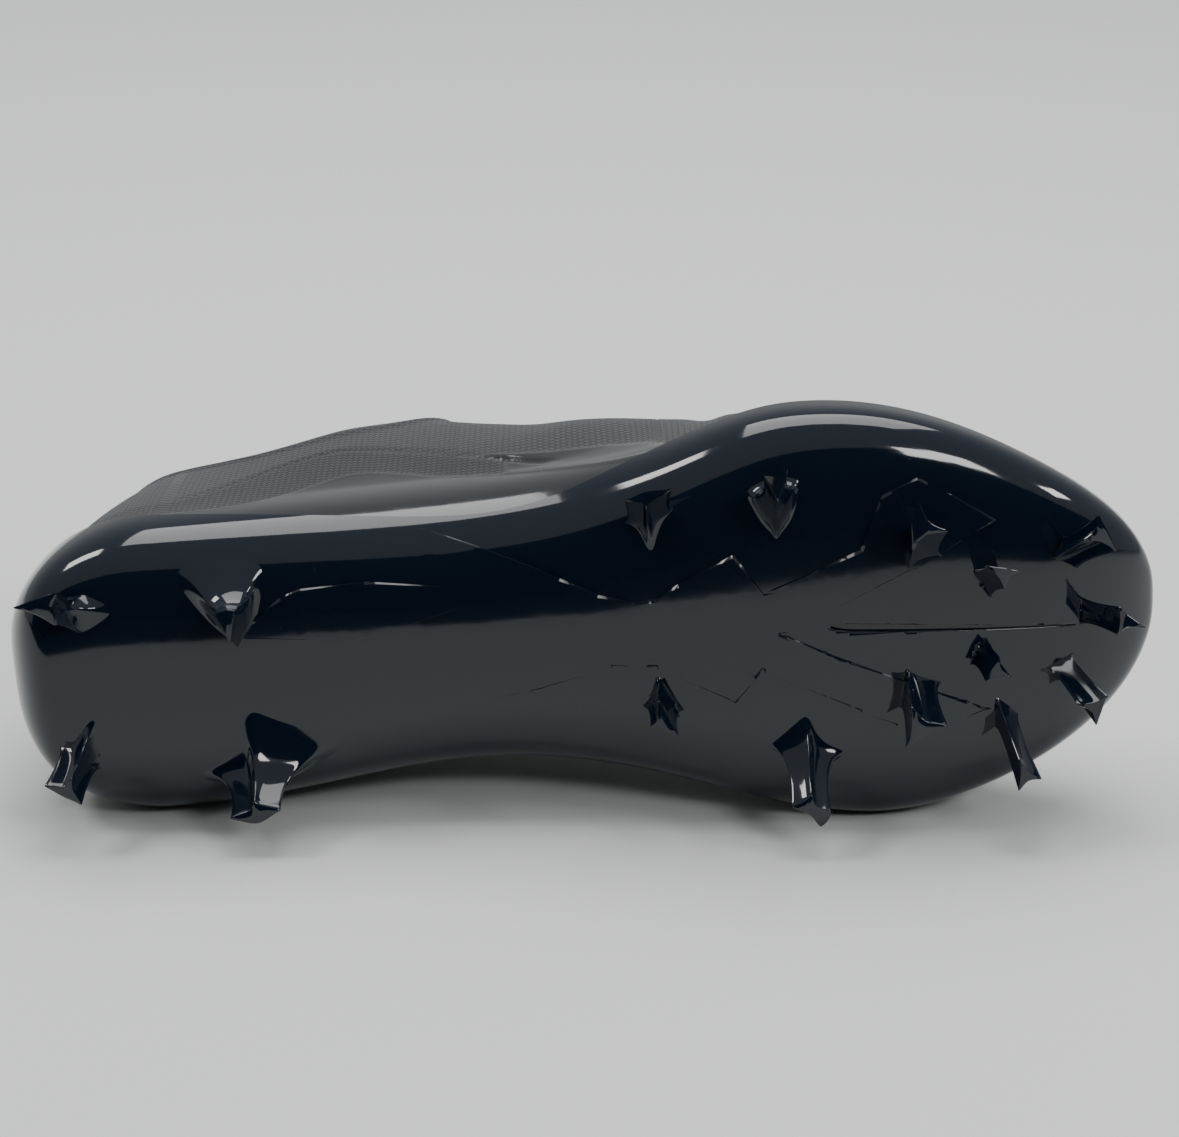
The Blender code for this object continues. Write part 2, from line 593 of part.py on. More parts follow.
def laces(finish):
    """The lace's crossings over the throat, joined, ending at the top eyelets."""
    spots = eyelet_places()
    piece = lace_bar("laces", spots[0], spots[1], 0.0, finish)
    bars = []
    for pair in range(EYELET_PAIRS - 1):
        under = 0.10 + 0.08 * (pair % 2)
        over = 0.35 + 0.08 * (pair % 2)
        for near, far, lift in ((2 * pair, 2 * pair + 3, under), (2 * pair + 1, 2 * pair + 2, over)):
            bars.append(lace_bar(f"bar_{near}_{far}", spots[near], spots[far], lift, finish))
    boolean(piece, bars, "UNION")
    return piece


def resting_turn(points):
    """The turn that lays the shoe on plate and upper, from the medial face of its hull that holds it up."""
    work = bmesh.new()
    for point in points:
        work.verts.new(point)
    bmesh.ops.convex_hull(work, input=work.verts)
    bmesh.ops.triangulate(work, faces=work.faces)
    middle = np.array(BALANCE) * (LENGTH, BALL_WIDTH, INSTEP_HEIGHT)
    best = -math.inf
    for face in work.faces:
        face.normal_update()
        normal = np.array(face.normal)
        if normal[1] < 0.7 or normal[2] < 0:
            continue
        corners = np.array([vert.co for vert in face.verts])
        foot = middle + normal * np.dot(corners[0] - middle, normal)
        inside = min(np.dot(np.cross(corners[(k + 1) % 3] - corners[k], foot - corners[k]), normal)
                     for k in range(3))
        if inside > best:
            best, down = inside, normal
    work.free()
    forward = np.array([1.0, 0, 0]) - down * down[0]
    forward = forward / np.linalg.norm(forward)
    across = np.cross(-down, forward)
    return Matrix([(*forward, 0), (*across, 0), (*-down, 0), (0, 0, 0, 1)])


def main():
    for thing in list(bpy.data.objects):
        bpy.data.objects.remove(thing)
    moulded = material("moulded_plate", (0.006, 0.010, 0.018), 0.12)
    knit = material("knit", (0.030, 0.032, 0.034), 0.75)
    lining = material("lining", (0.020, 0.020, 0.021), 0.85)
    padding = material("tongue_knit", (0.030, 0.032, 0.034), 0.75)
    film = material("film", (0.010, 0.011, 0.013), 0.30)
    cord = material("cord", (0.015, 0.015, 0.016), 0.70)
    outsole_plate(moulded)
    holes = punches(film)
    upper(knit, holes)
    insole(lining)
    tongue(padding)
    eyestay(film, holes)
    laces(cord)
    carrier = bpy.data.objects.new("shoe", None)
    bpy.context.collection.objects.link(carrier)
    cloud = []
    for thing in bpy.data.objects:
        if thing is not carrier:
            thing.parent = carrier
            if not thing.name.startswith(("punch", "bar", "cut")):
                cloud.append(np.array([vert.co for vert in thing.data.vertices]))
    cloud = np.concatenate(cloud)
    turn = resting_turn(cloud)
    laid = cloud @ np.array(turn.to_3x3()).T
    low, high = laid.min(axis=0), laid.max(axis=0)
    carrier.matrix_world = Matrix.Translation((-(low[0] + high[0]) / 2, -(low[1] + high[1]) / 2, -low[2])) @ turn


main()
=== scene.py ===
"""The looks of a right american football cleat that lies on its medial side, sole towards -Y.

Shapes are drawn in the shoe's own frame: x from the heel to the toe, y to the medial side and z up from
the plane of the stud tips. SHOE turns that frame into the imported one.
"""

import math

import bmesh
import bpy
import numpy as np
from mathutils import Matrix, Vector


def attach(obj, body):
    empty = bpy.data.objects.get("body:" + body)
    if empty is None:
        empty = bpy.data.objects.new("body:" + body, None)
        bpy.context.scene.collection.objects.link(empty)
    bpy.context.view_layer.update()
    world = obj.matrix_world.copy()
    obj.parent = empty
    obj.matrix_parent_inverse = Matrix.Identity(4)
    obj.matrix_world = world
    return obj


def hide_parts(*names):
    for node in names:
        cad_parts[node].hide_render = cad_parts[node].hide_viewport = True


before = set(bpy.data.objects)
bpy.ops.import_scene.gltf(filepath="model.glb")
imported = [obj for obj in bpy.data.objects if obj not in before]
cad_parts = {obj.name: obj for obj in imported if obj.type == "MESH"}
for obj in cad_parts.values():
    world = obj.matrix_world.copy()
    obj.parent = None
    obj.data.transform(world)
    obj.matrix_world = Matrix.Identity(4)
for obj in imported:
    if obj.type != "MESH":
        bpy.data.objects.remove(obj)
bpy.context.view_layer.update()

# Sizes in metres, as in the part's source. Only LACE_THICKNESS is 0.2 mm less here, and the two steps
# of the panels are the scene's own
LENGTH = 0.292
BALL_WIDTH = 0.104
INSTEP_HEIGHT = 0.106
STUD_HEIGHT = 0.012
TOE_SPRING = 0.012
ARCH_RISE = 0.006
UPPER_WALL = 0.0022
SKIN_STEP = 0.0006
PLATE_FLOOR = 0.0030
PLATE_SIDE = 0.0020
GAP = 0.0003
COLLAR_HEIGHT = 0.088
THROAT_HALF = 0.013
THROAT_FRONT = 0.168
COLLAR_FRONT = 0.114
INSOLE_THICKNESS = 0.0035
INSOLE_ROOM = 0.0006
TONGUE_THICKNESS = 0.0035
TONGUE_ROOM = 0.0030
TONGUE_HALF = 0.0205
TONGUE_RISE = 0.020
TONGUE_TUCK = 0.014
EYESTAY_WIDTH = 0.0125
EYESTAY_THICKNESS = 0.0010
EYESTAY_SEAT = 0.0007
LACE_WIDTH = 0.0060
LACE_THICKNESS = 0.0014
EYELET_PAIRS = 5
EYELET_INSET = 0.0065
EYELET_HOLE = 0.0045
HEEL_ROUND = 0.037
HEEL_BACK_ROUND = 0.011
HEEL_TOP_ROUND = 0.055
TOE_ROUND = 0.078
TOE_TOP_ROUND = 0.060
TOE_SOLE_ROUND = 0.030
LEAN_START = 0.010
GROOVE_WIDTH = 0.0028
GROOVE_DEPTH = 0.0014
PANEL_STEP = 0.0007
HEEL_PANEL_STEP = 0.0004

# How the shoe lies: its pitch and lean in degrees, and where its heel's end is
PITCH = 3.2461
SOLE_LEAN = 6.4967
HEEL_END = (-0.1458126, -0.0568256, 0.0424400)

SECTIONS = (
    ("at", "lateral", "medial", "wide", "crown", "arch", "spring", "square_low", "square_high", "lean"),
    (0.00, 0.315, 0.365, 0.36, 1.14, 0.00, 0.00, 3.0, 2.1, 0.00),
    (0.08, 0.325, 0.370, 0.38, 1.18, 0.00, 0.00, 3.0, 2.4, 0.05),
    (0.17, 0.335, 0.370, 0.42, 1.21, 0.05, 0.00, 3.0, 2.9, 0.12),
    (0.28, 0.340, 0.340, 0.48, 1.19, 0.45, 0.00, 2.9, 3.3, 0.25),
    (0.38, 0.345, 0.315, 0.52, 1.09, 0.90, 0.00, 2.7, 3.2, 0.28),
    (0.48, 0.370, 0.325, 0.50, 0.98, 0.90, 0.00, 2.7, 2.8, 0.26),
    (0.58, 0.440, 0.370, 0.40, 0.86, 0.40, 0.00, 2.8, 2.6, 0.17),
    (0.67, 0.515, 0.435, 0.33, 0.73, 0.05, 0.03, 3.0, 2.3, 0.04),
    (0.75, 0.515, 0.470, 0.30, 0.62, 0.00, 0.12, 3.0, 2.2, 0.00),
    (0.84, 0.475, 0.465, 0.31, 0.57, 0.00, 0.35, 3.0, 2.2, 0.00),
    (0.92, 0.430, 0.445, 0.33, 0.54, 0.00, 0.68, 3.0, 2.2, 0.00),
    (1.00, 0.405, 0.425, 0.36, 0.52, 0.00, 1.10, 3.0, 2.2, 0.00),
)

# Lines around the shoe: shares of INSTEP_HEIGHT for the rim, the skin's top and the seam, and shares of
# COLLAR_HEIGHT for the collar
LINES = (
    ("at", "rim_lateral", "rim_medial", "skin_lateral", "skin_medial", "seam_lateral", "seam_medial",
     "collar_lateral", "collar_medial"),
    (0.00, 0.340, 0.340, 0.35, 0.35, 0.50, 0.50, 1.08, 1.08),
    (0.06, 0.330, 0.330, 0.36, 0.36, 0.50, 0.50, 1.05, 1.05),
    (0.14, 0.300, 0.300, 0.37, 0.37, 0.51, 0.50, 0.97, 0.98),
    (0.22, 0.280, 0.280, 0.43, 0.43, 0.66, 0.62, 0.98, 0.99),
    (0.30, 0.280, 0.290, 0.59, 0.54, 0.75, 0.70, 1.10, 1.08),
    (0.36, 0.285, 0.300, 0.56, 0.55, 0.71, 0.69, 1.21, 1.19),
    (0.48, 0.290, 0.300, 0.46, 0.48, 0.54, 0.56, 1.60, 1.60),
    (0.58, 0.310, 0.310, 0.34, 0.36, 0.42, 0.44, 2.00, 2.00),
    (0.67, 0.320, 0.310, 0.34, 0.34, 0.38, 0.38, 2.00, 2.00),
    (0.80, 0.310, 0.300, 0.34, 0.34, 0.36, 0.36, 2.00, 2.00),
    (0.90, 0.310, 0.310, 0.35, 0.35, 0.38, 0.38, 2.00, 2.00),
    (1.00, 0.350, 0.350, 0.40, 0.40, 0.43, 0.43, 2.00, 2.00),
)

# Top of the glossy film that runs on up the side, as shares of LENGTH and INSTEP_HEIGHT
FILM = (
    ("at", "top"),
    (0.384, 0.665),
    (0.460, 0.620),
    (0.530, 0.545),
    (0.572, 0.450),
    (0.603, 0.280),
)

# Troughs and fullness of the upper, in metres: place and half width along it, how much further back it runs
# for each metre aside, the heights where it starts and is full, and how far it stands out
CREASES = (
    ("name", "along", "width", "slant", "low", "high", "out"),
    ("ankle_back", 0.094, 0.0100, 0.00, 0.055, 0.080, -0.00100),
    ("ankle_front", 0.135, 0.0090, 0.00, 0.045, 0.070, -0.00070),
    ("vamp_back", 0.186, 0.0045, 0.10, 0.042, 0.058, -0.00110),
    ("vamp_front", 0.199, 0.0045, 0.12, 0.042, 0.058, -0.00088),
    ("instep_fullness", 0.147, 0.0260, 0.00, 0.055, 0.078, 0.00300),
)

# Studs: place, height of the tip over the standing plane, and prongs with a direction in degrees and
# their reach at the tip and at the root, as shares of STUD_HEIGHT. Five roots reach further than in the
# part's source
STUDS = (
    ("name", "at", "side", "tip", "prongs"),
    ("heel_back_lateral", 0.043, -0.225, 0.0,
     ((180, 0.57, 0.75), (326, 0.56, 0.9), (52, 0.60, 0.9), (2, 0.3, 1.9))),
    ("heel_back_medial", 0.050, 0.245, 0.0, ((198, 0.60, 0.8), (50, 0.50, 0.9), (293, 0.40, 1.6))),
    ("heel_front_lateral", 0.203, -0.150, 0.0, ((90, 0.42, 0.8), (222, 0.35, 2.7), (299, 0.35, 2.3))),
    ("heel_front_medial", 0.211, 0.332, 0.0, ((176, 0.66, 2.2), (350, 0.60, 3.3), (266, 0.35, 2.3))),
    ("waist_lateral", 0.562, -0.393, 0.5, ((181, 0.53, 0.7), (341, 0.72, 0.9), (86, 0.27, 1.3))),
    ("waist_medial", 0.566, 0.166, 0.5, ((265, 0.60, 0.8), (45, 0.58, 0.75), (160, 0.30, 0.6))),
    ("ball_lateral", 0.672, -0.420, 0.0, ((90, 0.35, 0.8), (226, 0.40, 1.6), (304, 0.45, 1.8))),
    ("ball_medial", 0.692, 0.389, 0.0, ((272, 0.35, 1.6), (70, 0.45, 0.7), (188, 0.50, 1.5), (5, 0.40, 1.5))),
    ("fore_lateral", 0.791, -0.305, 0.0, ((264, 0.72, 1.0), (11, 0.70, 1.3), (111, 0.60, 1.0))),
    ("fore_medial", 0.787, 0.194, 0.0, ((250, 0.62, 0.9), (358, 0.70, 1.3), (125, 0.65, 1.1))),
    ("inner_lateral", 0.861, -0.165, 0.5, ((210, 0.42, 0.6), (356, 0.45, 0.85), (83, 0.38, 0.7))),
    ("inner_medial", 0.855, 0.079, 0.5, ((288, 0.36, 0.55), (26, 0.45, 0.8), (135, 0.38, 0.65))),
    ("edge_medial", 0.878, 0.340, 0.2, ((249, 0.40, 1.0), (14, 0.42, 0.8), (116, 0.45, 0.7))),
    ("toe_lateral", 0.945, -0.248, 0.6, ((264, 0.50, 0.75), (159, 0.55, 0.8), (50, 0.60, 1.0))),
    ("toe_medial", 0.941, 0.184, 0.5, ((190, 0.50, 0.85), (313, 0.40, 0.8), (92, 0.50, 0.7))),
    ("toe_tip", 0.967, -0.021, 0.7, ((248, 0.45, 0.7), (21, 0.55, 0.8), (121, 0.40, 0.75))),
)

# Outlines of the plate's raised panels and ends of its groove, as shares of LENGTH and, medial positive,
# of BALL_WIDTH
CHASSIS = (
    (0.299, -0.382), (0.336, -0.379), (0.380, -0.342), (0.485, -0.193), (0.517, -0.145), (0.548, -0.120),
    (0.564, -0.125), (0.586, -0.165), (0.635, -0.234), (0.659, -0.127), (0.743, -0.223), (0.762, -0.356),
    (0.794, -0.405), (0.864, -0.269), (0.789, -0.160), (0.674, -0.023), (0.724, 0.043), (0.782, 0.119),
    (0.829, 0.173), (0.856, 0.209), (0.800, 0.250), (0.773, 0.234), (0.739, 0.185), (0.656, 0.067),
    (0.632, 0.154), (0.564, 0.054), (0.526, 0.052), (0.461, 0.112), (0.380, 0.150), (0.299, 0.160),
)
HEEL_PANEL = (
    (0.202, -0.080), (0.216, -0.124), (0.236, -0.172), (0.258, -0.204), (0.324, -0.211), (0.412, -0.174),
    (0.424, -0.166), (0.427, -0.150), (0.420, -0.135), (0.309, -0.056),
)
GROOVE = ((0.716, -0.032), (0.931, 0.017))

# Gap between two prongs, in degrees, from which a stud's side is hollow, and over which it gets so
HOLLOW_FROM = 80
HOLLOW_OVER = 15

# Ends of the line inside the shoe that every section is seen from, as shares of LENGTH
SPINE_HEEL = 0.13
SPINE_TOE = 0.79

# Pitch of a knitted stitch and of the lace's weave, in metres
STITCH = 0.0016
LACE_WEAVE = 0.0011


def column(table, name):
    """The numbers of one named column."""
    index = table[0].index(name)
    return np.array([row[index] for row in table[1:]], float)


def spline(table, name):
    """A smooth curve through one column, with no bending at its ends."""
    x, y = column(table, "at"), column(table, name)
    step = np.diff(x)
    count = len(x)
    system = np.eye(count)
    load = np.zeros(count)
    for i in range(1, count - 1):
        system[i, i - 1:i + 2] = step[i - 1], 2 * (step[i - 1] + step[i]), step[i]
        load[i] = 6 * ((y[i + 1] - y[i]) / step[i] - (y[i] - y[i - 1]) / step[i - 1])
    bend = np.linalg.solve(system, load)

    def curve(at):
        at = np.clip(at, x[0], x[-1])
        i = np.clip(np.searchsorted(x, at) - 1, 0, count - 2)
        a, b = (x[i + 1] - at) / step[i], (at - x[i]) / step[i]
        bent = (a ** 3 - a) * bend[i] + (b ** 3 - b) * bend[i + 1]
        return a * y[i] + b * y[i + 1] + bent * step[i] ** 2 / 6

    return curve


SHAPE = {name: spline(SECTIONS, name) for name in SECTIONS[0][1:]}
LINE = {name: spline(LINES, name) for name in LINES[0][1:]}


def smooth(value, start=0.0, stop=1.0):
    """A soft step from 0 to 1."""
    value = np.clip((np.asarray(value) - start) / (stop - start), 0, 1)
    return value * value * (3 - 2 * value)


def bell(value, middle, width):
    """A soft bump of height 1."""
    return np.exp(-((np.asarray(value) - middle) / width) ** 2)


def rounded(distance, radius, power):
    """Share of the full size at a distance from a round end."""
    left = np.clip(1 - distance / radius, 0, 1)
    return (1 - left ** power) ** (1 / power)


def leaning(x, above):
    """How far the upper leans to the lateral side at a height above its widest place."""
    above = np.maximum(above, 0)
    return SHAPE["lean"](x / LENGTH) * above * above / (above + LEAN_START)


class Form:
    """A closed form over the sections, grown by side in plan and by under at the sole."""

    def __init__(self, side=0.0, under=0.0, squarer=0.0):
        self.side = side
        self.under = under
        self.squarer = squarer

    def section(self, x):
        """Half widths, height of the widest place, depth, rise and powers of the section at x."""
        at = x / LENGTH
        heel, toe = x + self.side, LENGTH + self.side - x
        plan = rounded(heel, HEEL_ROUND + self.side, 2.2) * rounded(toe, TOE_ROUND + self.side, 2.1)
        back_low = rounded(heel, HEEL_BACK_ROUND + self.side, 2.0)
        back_high = rounded(heel, HEEL_TOP_ROUND + self.side, 2.0)
        front_high = rounded(toe, TOE_TOP_ROUND + self.side, 2.0)
        front_low = rounded(toe, TOE_SOLE_ROUND + self.side, 2.0)
        lateral = (SHAPE["lateral"](at) * BALL_WIDTH + self.side) * plan
        medial = (SHAPE["medial"](at) * BALL_WIDTH + self.side) * plan
        wide = SHAPE["wide"](at) * INSTEP_HEIGHT
        sole = STUD_HEIGHT + PLATE_FLOOR + GAP
        sole = sole + SHAPE["arch"](at) * ARCH_RISE + SHAPE["spring"](at) * TOE_SPRING
        depth = (wide - sole + self.under) * back_low * front_low
        rise = (SHAPE["crown"](at) * INSTEP_HEIGHT + self.side - wide) * back_high * front_high
        return lateral, medial, wide, depth, rise, SHAPE["square_low"](at) + self.squarer, \
            SHAPE["square_high"](at)

    def level(self, points):
        """Below one inside the form and above one outside it."""
        x, y, z = points[..., 0], points[..., 1], points[..., 2]
        edge = 1e-6 - self.side
        x = np.clip(x, edge, LENGTH - edge)
        lateral, medial, wide, depth, rise, low, high = self.section(x)
        y = y + leaning(x, z - wide)
        across = np.abs(y) / np.maximum(np.where(y > 0, medial, lateral), 1e-9)
        above = z > wide
        up = np.abs(z - wide) / np.maximum(np.where(above, rise, depth), 1e-9)
        power = np.where(above, high, low)
        return across ** power + up ** power

    def holds(self, points):
        """True where a point is inside the form."""
        x = points[..., 0]
        return (self.level(points) < 1) & (x > -self.side) & (x < LENGTH + self.side)

    def normal(self, points, step=0.0002):
        """Directions square to the form."""
        slope = np.stack([self.level(points + way) - self.level(points - way)
                          for way in np.eye(3) * step], -1)
        return slope / np.maximum(np.linalg.norm(slope, axis=-1, keepdims=True), 1e-9)

    def reach(self, start, way, far=0.25, halvings=26):
        """Where a ray from inside the form leaves it."""
        near = np.zeros(way.shape[:-1])
        off = np.full(way.shape[:-1], far)
        for _ in range(halvings):
            middle = (near + off) / 2
            inside = self.holds(start + way * middle[..., None])
            near = np.where(inside, middle, near)
            off = np.where(inside, off, middle)
        return start + way * near[..., None]


LAST = Form()
FOOTBED = Form(side=-UPPER_WALL - INSOLE_ROOM, under=-UPPER_WALL - INSOLE_ROOM)
EYESTAY_INNER = Form(side=EYESTAY_SEAT)
EYESTAY_OUTER = Form(side=EYESTAY_SEAT + EYESTAY_THICKNESS)
TONGUE_OUTER = Form(side=-UPPER_WALL - TONGUE_ROOM)
TONGUE_INNER = Form(side=-UPPER_WALL - TONGUE_ROOM - TONGUE_THICKNESS)
PLATE_INNER = Form(side=GAP + SKIN_STEP, under=GAP + SKIN_STEP)
PLATE_OUTER = Form(side=GAP + SKIN_STEP + PLATE_SIDE, under=GAP + SKIN_STEP + PLATE_FLOOR, squarer=0.8)


def lay_matrix():
    """The turn and shift from the shoe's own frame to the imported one."""
    pitch, lean = math.radians(PITCH), math.radians(SOLE_LEAN)
    forward = Vector((math.cos(pitch), 0, math.sin(pitch)))
    across = Vector((math.sin(pitch) * math.cos(lean), -math.sin(lean), -math.cos(pitch) * math.cos(lean)))
    up = forward.cross(across)
    turn = Matrix((forward, across, up)).transposed().to_4x4()
    return Matrix.Translation(HEEL_END) @ turn


SHOE = lay_matrix()


def laid(points):
    """Points of the shoe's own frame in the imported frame."""
    turn = np.array(SHOE)
    return np.asarray(points) @ turn[:3, :3].T + turn[:3, 3]


def stations(side, toe_steps, heel_steps):
    """Spine points and level directions, once around the shoe from the lateral heel."""
    heel, toe = SPINE_HEEL * LENGTH, SPINE_TOE * LENGTH
    along = heel + (toe - heel) * np.arange(side) / side
    front = -math.pi / 2 + math.pi * np.arange(toe_steps) / toe_steps
    back = math.pi / 2 + math.pi * np.arange(heel_steps) / heel_steps
    x = np.concatenate([along[1:], np.full(toe_steps, toe), (heel + toe - along)[1:],
                        np.full(heel_steps, heel)])
    turn = np.concatenate([np.full(side - 1, -math.pi / 2), front, np.full(side - 1, math.pi / 2), back])
    spine = np.stack([x, 0 * x, SHAPE["wide"](x / LENGTH) * INSTEP_HEIGHT], -1)
    way = np.stack([np.cos(turn), np.sin(turn), 0 * turn], -1)
    way[np.abs(way) < 1e-12] = 0
    return spine, way


def meridians(form, around, count=161):
    """Dense curves over the form, one for each station, from under the spine to over it."""
    spine, way = around
    tilt = np.linspace(-math.pi / 2, math.pi / 2, count)
    level = np.cos(tilt)
    level[0] = level[-1] = 0
    rays = way[:, None, :] * level[None, :, None]
    rays[..., 2] += np.sin(tilt)[None, :]
    return form.reach(spine[:, None, :] * np.ones((1, count, 1)), rays)


def crossing(values):
    """Place, in steps along each row, where its values first rise through zero."""
    over = values > 0
    index = np.clip(np.argmax(over, axis=1), 1, values.shape[1] - 1)
    row = np.arange(len(values))
    before, after = values[row, index - 1], values[row, index]
    place = index - 1 + np.clip(-before / np.where(after > before, after - before, 1.0), 0, 1)
    return np.where(over.any(axis=1), place, values.shape[1] - 1.0)


def places(curves, first, last, shares):
    """Places along each curve between two others, at shares of the length between them."""
    result = []
    for curve, start, stop in zip(curves, first, last):
        steps = np.linalg.norm(np.diff(curve, axis=0), axis=1)
        run = np.concatenate([[0], np.cumsum(steps)])
        order = np.arange(len(curve))
        ends = np.interp([start, stop], order, run)
        result.append(np.interp(ends[0] + (ends[1] - ends[0]) * np.asarray(shares), run, order))
    return np.array(result)


def sample(curves, at):
    """Points of each curve at the given places."""
    order = np.arange(curves.shape[1])
    return np.array([[np.interp(row, order, curve[:, k]) for k in range(3)]
                     for curve, row in zip(curves, at)]).transpose(0, 2, 1)


def line_height(name, points, size=INSTEP_HEIGHT):
    """Height of a named line beside each point, the lateral and medial sides blended at the ends."""
    at = np.clip(points[..., 0] / LENGTH, 0, 1)
    side = 0.5 + 0.5 * np.tanh(points[..., 1] / (0.1 * BALL_WIDTH))
    lateral, medial = LINE[name + "_lateral"](at), LINE[name + "_medial"](at)
    return (lateral + (medial - lateral) * side) * size


class Node:
    """A shader socket that takes part in plain sums."""

    def __init__(self, shader, socket):
        self.shader = shader
        self.socket = socket

    def math(self, operation, *others):
        return self.shader.node("Math", {"operation": operation}, dict(enumerate((self, *others))))

    def __add__(self, other):
        return self.math("ADD", other)

    def __sub__(self, other):
        return self.math("SUBTRACT", other)

    def __rsub__(self, other):
        return self.math("MULTIPLY", -1.0).math("ADD", other)

    def __mul__(self, other):
        return self.math("MULTIPLY", other)

    __radd__ = __add__
    __rmul__ = __mul__

    def soft(self, start, stop):
        """A soft step from 0 at start to 1 at stop."""
        return self.shader.node("MapRange", {"interpolation_type": "SMOOTHSTEP"},
                                {"Value": self, "From Min": start, "From Max": stop})


class Shader:
    """A material's nodes, written as sums."""

    def __init__(self, name):
        self.material = bpy.data.materials.new(name)
        self.material.use_nodes = True
        self.tree = self.material.node_tree
        self.surface = self.tree.nodes["Principled BSDF"]

    def feed(self, slot, value):
        """Puts a number, a colour or a socket into an input."""
        if isinstance(value, Node):
            self.tree.links.new(value.socket, slot)
        elif hasattr(value, "name") and hasattr(value, "is_output"):
            self.tree.links.new(value, slot)
        elif isinstance(value, tuple) and len(value) == 3 and slot.type == "RGBA":
            slot.default_value = (*value, 1)
        else:
            slot.default_value = value

    def add(self, kind, settings=None, values=None, output=0):
        """Adds a node and returns one of its outputs."""
        node = self.tree.nodes.new("ShaderNode" + kind)
        for key, value in (settings or {}).items():
            setattr(node, key, value)
        for key, value in (values or {}).items():
            self.feed(node.inputs[key], value)
        return node.outputs[output]

    def node(self, kind, settings=None, values=None, output=0):
        return Node(self, self.add(kind, settings, values, output))

    def noise(self, scale, detail=2.0, rough=0.5):
        """Noise in the object's metres."""
        values = {"Vector": self.add("TexCoord", output="Object"), "Scale": scale, "Detail": detail}
        return self.node("TexNoise", None, {**values, "Roughness": rough})

    def run(self):
        """Distances along the piece's run and across it, in metres."""
        along = self.node("SeparateXYZ", None, {"Vector": self.add("UVMap", {"uv_map": "run"})}, "X")
        return along, Node(self, along.socket.node.outputs["Y"])

    def attribute(self, name):
        return self.node("Attribute", {"attribute_name": name}, None, "Fac")

    def mix(self, share, first, second):
        """A colour between two."""
        return self.node("Mix", {"data_type": "RGBA"}, {0: share, 6: first, 7: second}, 2)

    def bump(self, height, distance, strength):
        """Sends a height in shares of a distance to the surface."""
        normal = self.add("Bump", None, {"Height": height, "Distance": distance, "Strength": strength})
        self.tree.links.new(normal, self.surface.inputs["Normal"])

    def set(self, **values):
        for key, value in values.items():
            self.feed(self.surface.inputs[key.replace("_", " ")], value)
        return self


def lay_run(mesh, uv):
    """Gives a mesh its run as a UV map, carried on past the seam where a closed run starts again."""
    layer = mesh.uv_layers.new(name="run")
    loops = np.empty(len(mesh.loops), int)
    mesh.loops.foreach_get("vertex_index", loops)
    flat = uv[loops].copy()
    whole = uv[:, 0].max()
    start = 0
    for face in mesh.polygons:
        stop = start + face.loop_total
        along = flat[start:stop, 0]
        if along.max() - along.min() > whole / 2:
            along[along < whole / 2] += whole
        start = stop
    layer.data.foreach_set("uv", flat.ravel())


def piece(name, points, faces, finish, angle=40, slots=None, uv=None, marks=None):
    """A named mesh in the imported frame, riding on the one body."""
    mesh = bpy.data.meshes.new(name)
    points = laid(np.asarray(points).reshape(-1, 3))
    mesh.from_pydata([tuple(point) for point in points], [], faces)
    for thing in finish if isinstance(finish, (list, tuple)) else [finish]:
        mesh.materials.append(thing.material)
    if slots is not None:
        mesh.polygons.foreach_set("material_index", slots)
    if uv is not None:
        lay_run(mesh, uv)
    for key, values in (marks or {}).items():
        mesh.attributes.new(key, "FLOAT", "POINT").data.foreach_set("value", values)
    work = bmesh.new()
    work.from_mesh(mesh)
    bmesh.ops.recalc_face_normals(work, faces=work.faces)
    loose = [vert for vert in work.verts if not vert.link_faces]
    bmesh.ops.delete(work, geom=loose, context="VERTS")
    work.to_mesh(mesh)
    work.free()
    mesh.shade_smooth()
    mesh.set_sharp_from_angle(angle=math.radians(angle))
    thing = bpy.data.objects.new(name, mesh)
    bpy.context.collection.objects.link(thing)
    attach(thing, "root")
    return thing


def grid(rows, columns, closed=True, offset=0, flip=False):
    """Quads over a grid of points."""
    faces = []
    for i in range(rows if closed else rows - 1):
        for j in range(columns - 1):
            a, b = offset + i * columns + j, offset + (i + 1) % rows * columns + j
            faces.append((b, b + 1, a + 1, a) if flip else (a, a + 1, b + 1, b))
    return faces


def strip(first, second):
    """Quads between two closed rings of points."""
    return [(first[i - 1], second[i - 1], second[i], first[i]) for i in range(len(first))]


def tube(rings, count):
    """Quads between stacked rings of count points, then both ends."""
    faces = []
    for low in range(0, (rings - 1) * count, count):
        for i in range(count):
            k = (i + 1) % count
            faces.append((low + i, low + k, low + count + k, low + count + i))
    return faces + [tuple(range(count)), tuple(range((rings - 1) * count, rings * count))]


def runs(points):
    """Distance along the rows and columns of a grid of points, as a flat list of pairs."""
    across = np.linalg.norm(np.diff(points, axis=1), axis=-1)
    up = np.concatenate([np.zeros((len(points), 1)), np.cumsum(across, axis=1)], axis=1)
    middle = points[:, points.shape[1] // 2]
    along = np.linalg.norm(middle - np.roll(middle, 1, axis=0), axis=-1)
    along[0] = 0
    along = np.cumsum(along)[:, None] + 0 * up
    return np.stack([along, up], -1).reshape(-1, 2)


def moulded_shader():
    """Very glossy near-black navy plastic, faintly wavy, with fine dust."""
    s = Shader("moulded_gloss")
    wave = s.noise(28, 2, 0.4)
    dust = s.noise(900, 3, 0.7).soft(0.66, 0.80)
    haze = s.noise(35, 4, 0.6)
    s.set(Base_Color=s.mix(dust * 0.12, (0.0035, 0.0075, 0.0160), (0.10, 0.11, 0.12)),
          Roughness=haze * 0.05 + 0.045 + dust * 0.15, Coat_Weight=0.2, Coat_Roughness=0.03, IOR=1.48)
    s.bump(wave * 0.8 + s.noise(160, 2, 0.5) * 0.06, 0.00035, 0.6)
    return s


